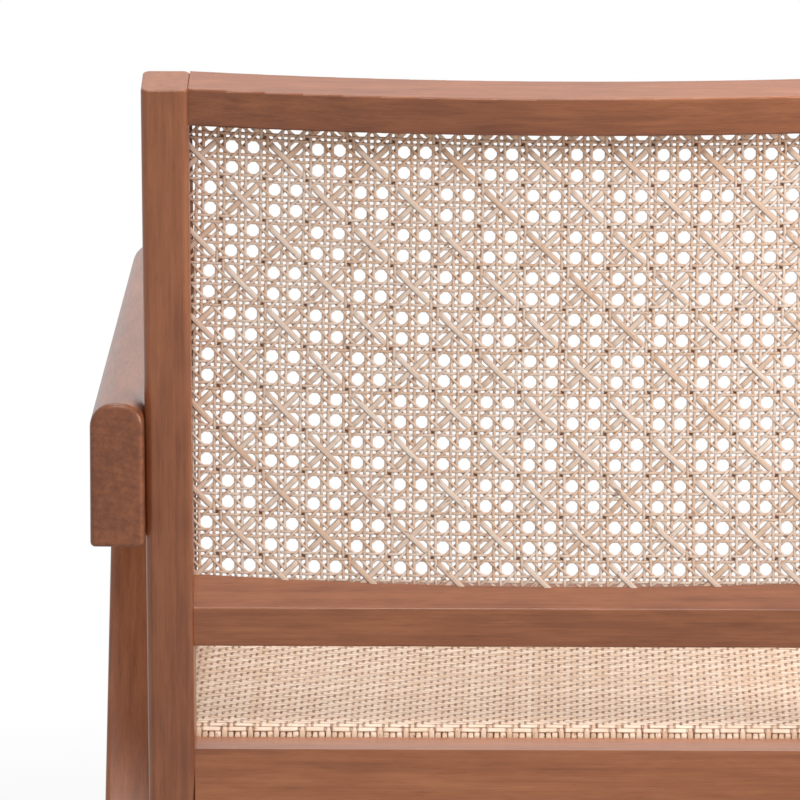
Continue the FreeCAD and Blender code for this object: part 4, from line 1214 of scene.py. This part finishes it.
@dataclass
class Studio:
    """The pale floor, the plain soft light and the camera.

    The floor is grey to the light and white to the camera: fully so some way out, and less near
    the chair, where it keeps the shadow.
    """

    lens: float = 451.35
    sensor: float = 36.0
    clip_end: float = 60.0
    eye: Triple = (0.0, 6.0796, 1.6159)
    target: Triple = (0.103, 0.2737, 0.5713)
    floor_radius: float = 16.0
    floor_corners: int = 96
    floor_grey: float = 0.5
    white_near: float = 0.45
    white_per_metre: float = 0.35
    sky: float = 0.40
    aim: Triple = (0.0, 0.0, 0.4)
    lamps: tuple[Lamp, ...] = (Lamp("overhead", 66.0, 2.4, (-0.2, -0.2, 3.2)),
                               Lamp("side", 15.0, 0.6, (-1.25, 0.75, 0.95)),
                               Lamp("rear", 50.0, 0.8, (0.1, 3.4, 3.4)))

    def facing(self, place: Triple, target: Triple) -> tuple[float, float, float]:
        """Give the turn that makes a lamp or camera face a target."""
        return (Vector(target) - Vector(place)).to_track_quat("-Z", "Y").to_euler()

    def camera(self) -> None:
        """Place the camera at the photograph's viewing angle."""
        data = bpy.data.cameras.new("camera")
        data.lens = self.lens
        data.sensor_width = self.sensor
        data.clip_end = self.clip_end
        made = bpy.data.objects.new("camera", data)
        made.location = self.eye
        made.rotation_euler = self.facing(self.eye, self.target)
        bpy.context.scene.collection.objects.link(made)
        bpy.context.scene.camera = made

    def hang(self, lamp: Lamp) -> None:
        """Hang a lamp and aim it at the chair.

        Args:
            lamp: the lamp.
        """
        data = bpy.data.lights.new(lamp.name, "AREA")
        data.energy = lamp.watts
        data.size = lamp.size
        made = bpy.data.objects.new(lamp.name, data)
        made.location = lamp.place
        made.rotation_euler = self.facing(lamp.place, self.aim)
        bpy.context.scene.collection.objects.link(made)

    def floor(self) -> None:
        """Lay the white floor, which keeps the chair's shadow."""
        turns = np.linspace(0, 2 * math.pi, self.floor_corners + 1)[:-1]
        radius = self.floor_radius
        rim = [(radius * math.cos(turn), radius * math.sin(turn), 0.0) for turn in turns]
        mesh = bpy.data.meshes.new("floor")
        mesh.from_pydata(rim, [], [list(range(len(rim)))])
        graph = Graph.of_material("floor_white")
        reach = graph.node("ShaderNodeVectorMath", {"operation": "LENGTH"}, {0: graph.position()}, "Value")
        grey = (self.floor_grey, self.floor_grey, self.floor_grey, 1.0)
        matt = graph.node("ShaderNodeBsdfDiffuse", None, {"Color": grey})
        glow = graph.node("ShaderNodeEmission", None, {"Color": (1.0, 1.0, 1.0, 1.0), "Strength": 1.0})
        share = graph.seen() * (self.white_near + reach * self.white_per_metre).limited()
        both = graph.node("ShaderNodeMixShader", None, {0: share, 1: matt, 2: glow})
        graph.node("ShaderNodeOutputMaterial", None, {"Surface": both})
        mesh.materials.append(graph.owner)
        made = bpy.data.objects.new("floor", mesh)
        bpy.context.scene.collection.objects.link(made)

    def world(self) -> None:
        """Light the chair from all round, with a white background."""
        world = bpy.data.worlds.new("studio")
        bpy.context.scene.world = world
        graph = Graph(world)
        white = (1.0, 1.0, 1.0, 1.0)
        sky = graph.node("ShaderNodeBackground", None, {"Color": white, "Strength": self.sky})
        backdrop = graph.node("ShaderNodeBackground", None, {"Color": white, "Strength": 1.0})
        both = graph.node("ShaderNodeMixShader", None, {0: graph.seen(), 1: sky, 2: backdrop})
        graph.node("ShaderNodeOutputWorld", None, {"Surface": both})

    def build(self) -> None:
        """Set the studio up."""
        bpy.context.scene.view_settings.view_transform = "Standard"
        self.camera()
        self.world()
        self.floor()
        for lamp in self.lamps:
            self.hang(lamp)


def main() -> None:
    """Build the studio and every part of the chair."""
    logging.basicConfig(level=logging.INFO, format="%(name)s %(message)s")
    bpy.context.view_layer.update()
    for part in (Studio(), WoodenFrame(), Fittings(), OpenCaneBack(), TwillCaneSeat()):
        log.info("building %s", type(part).__name__)
        part.build()


if __name__ == "__main__":
    main()
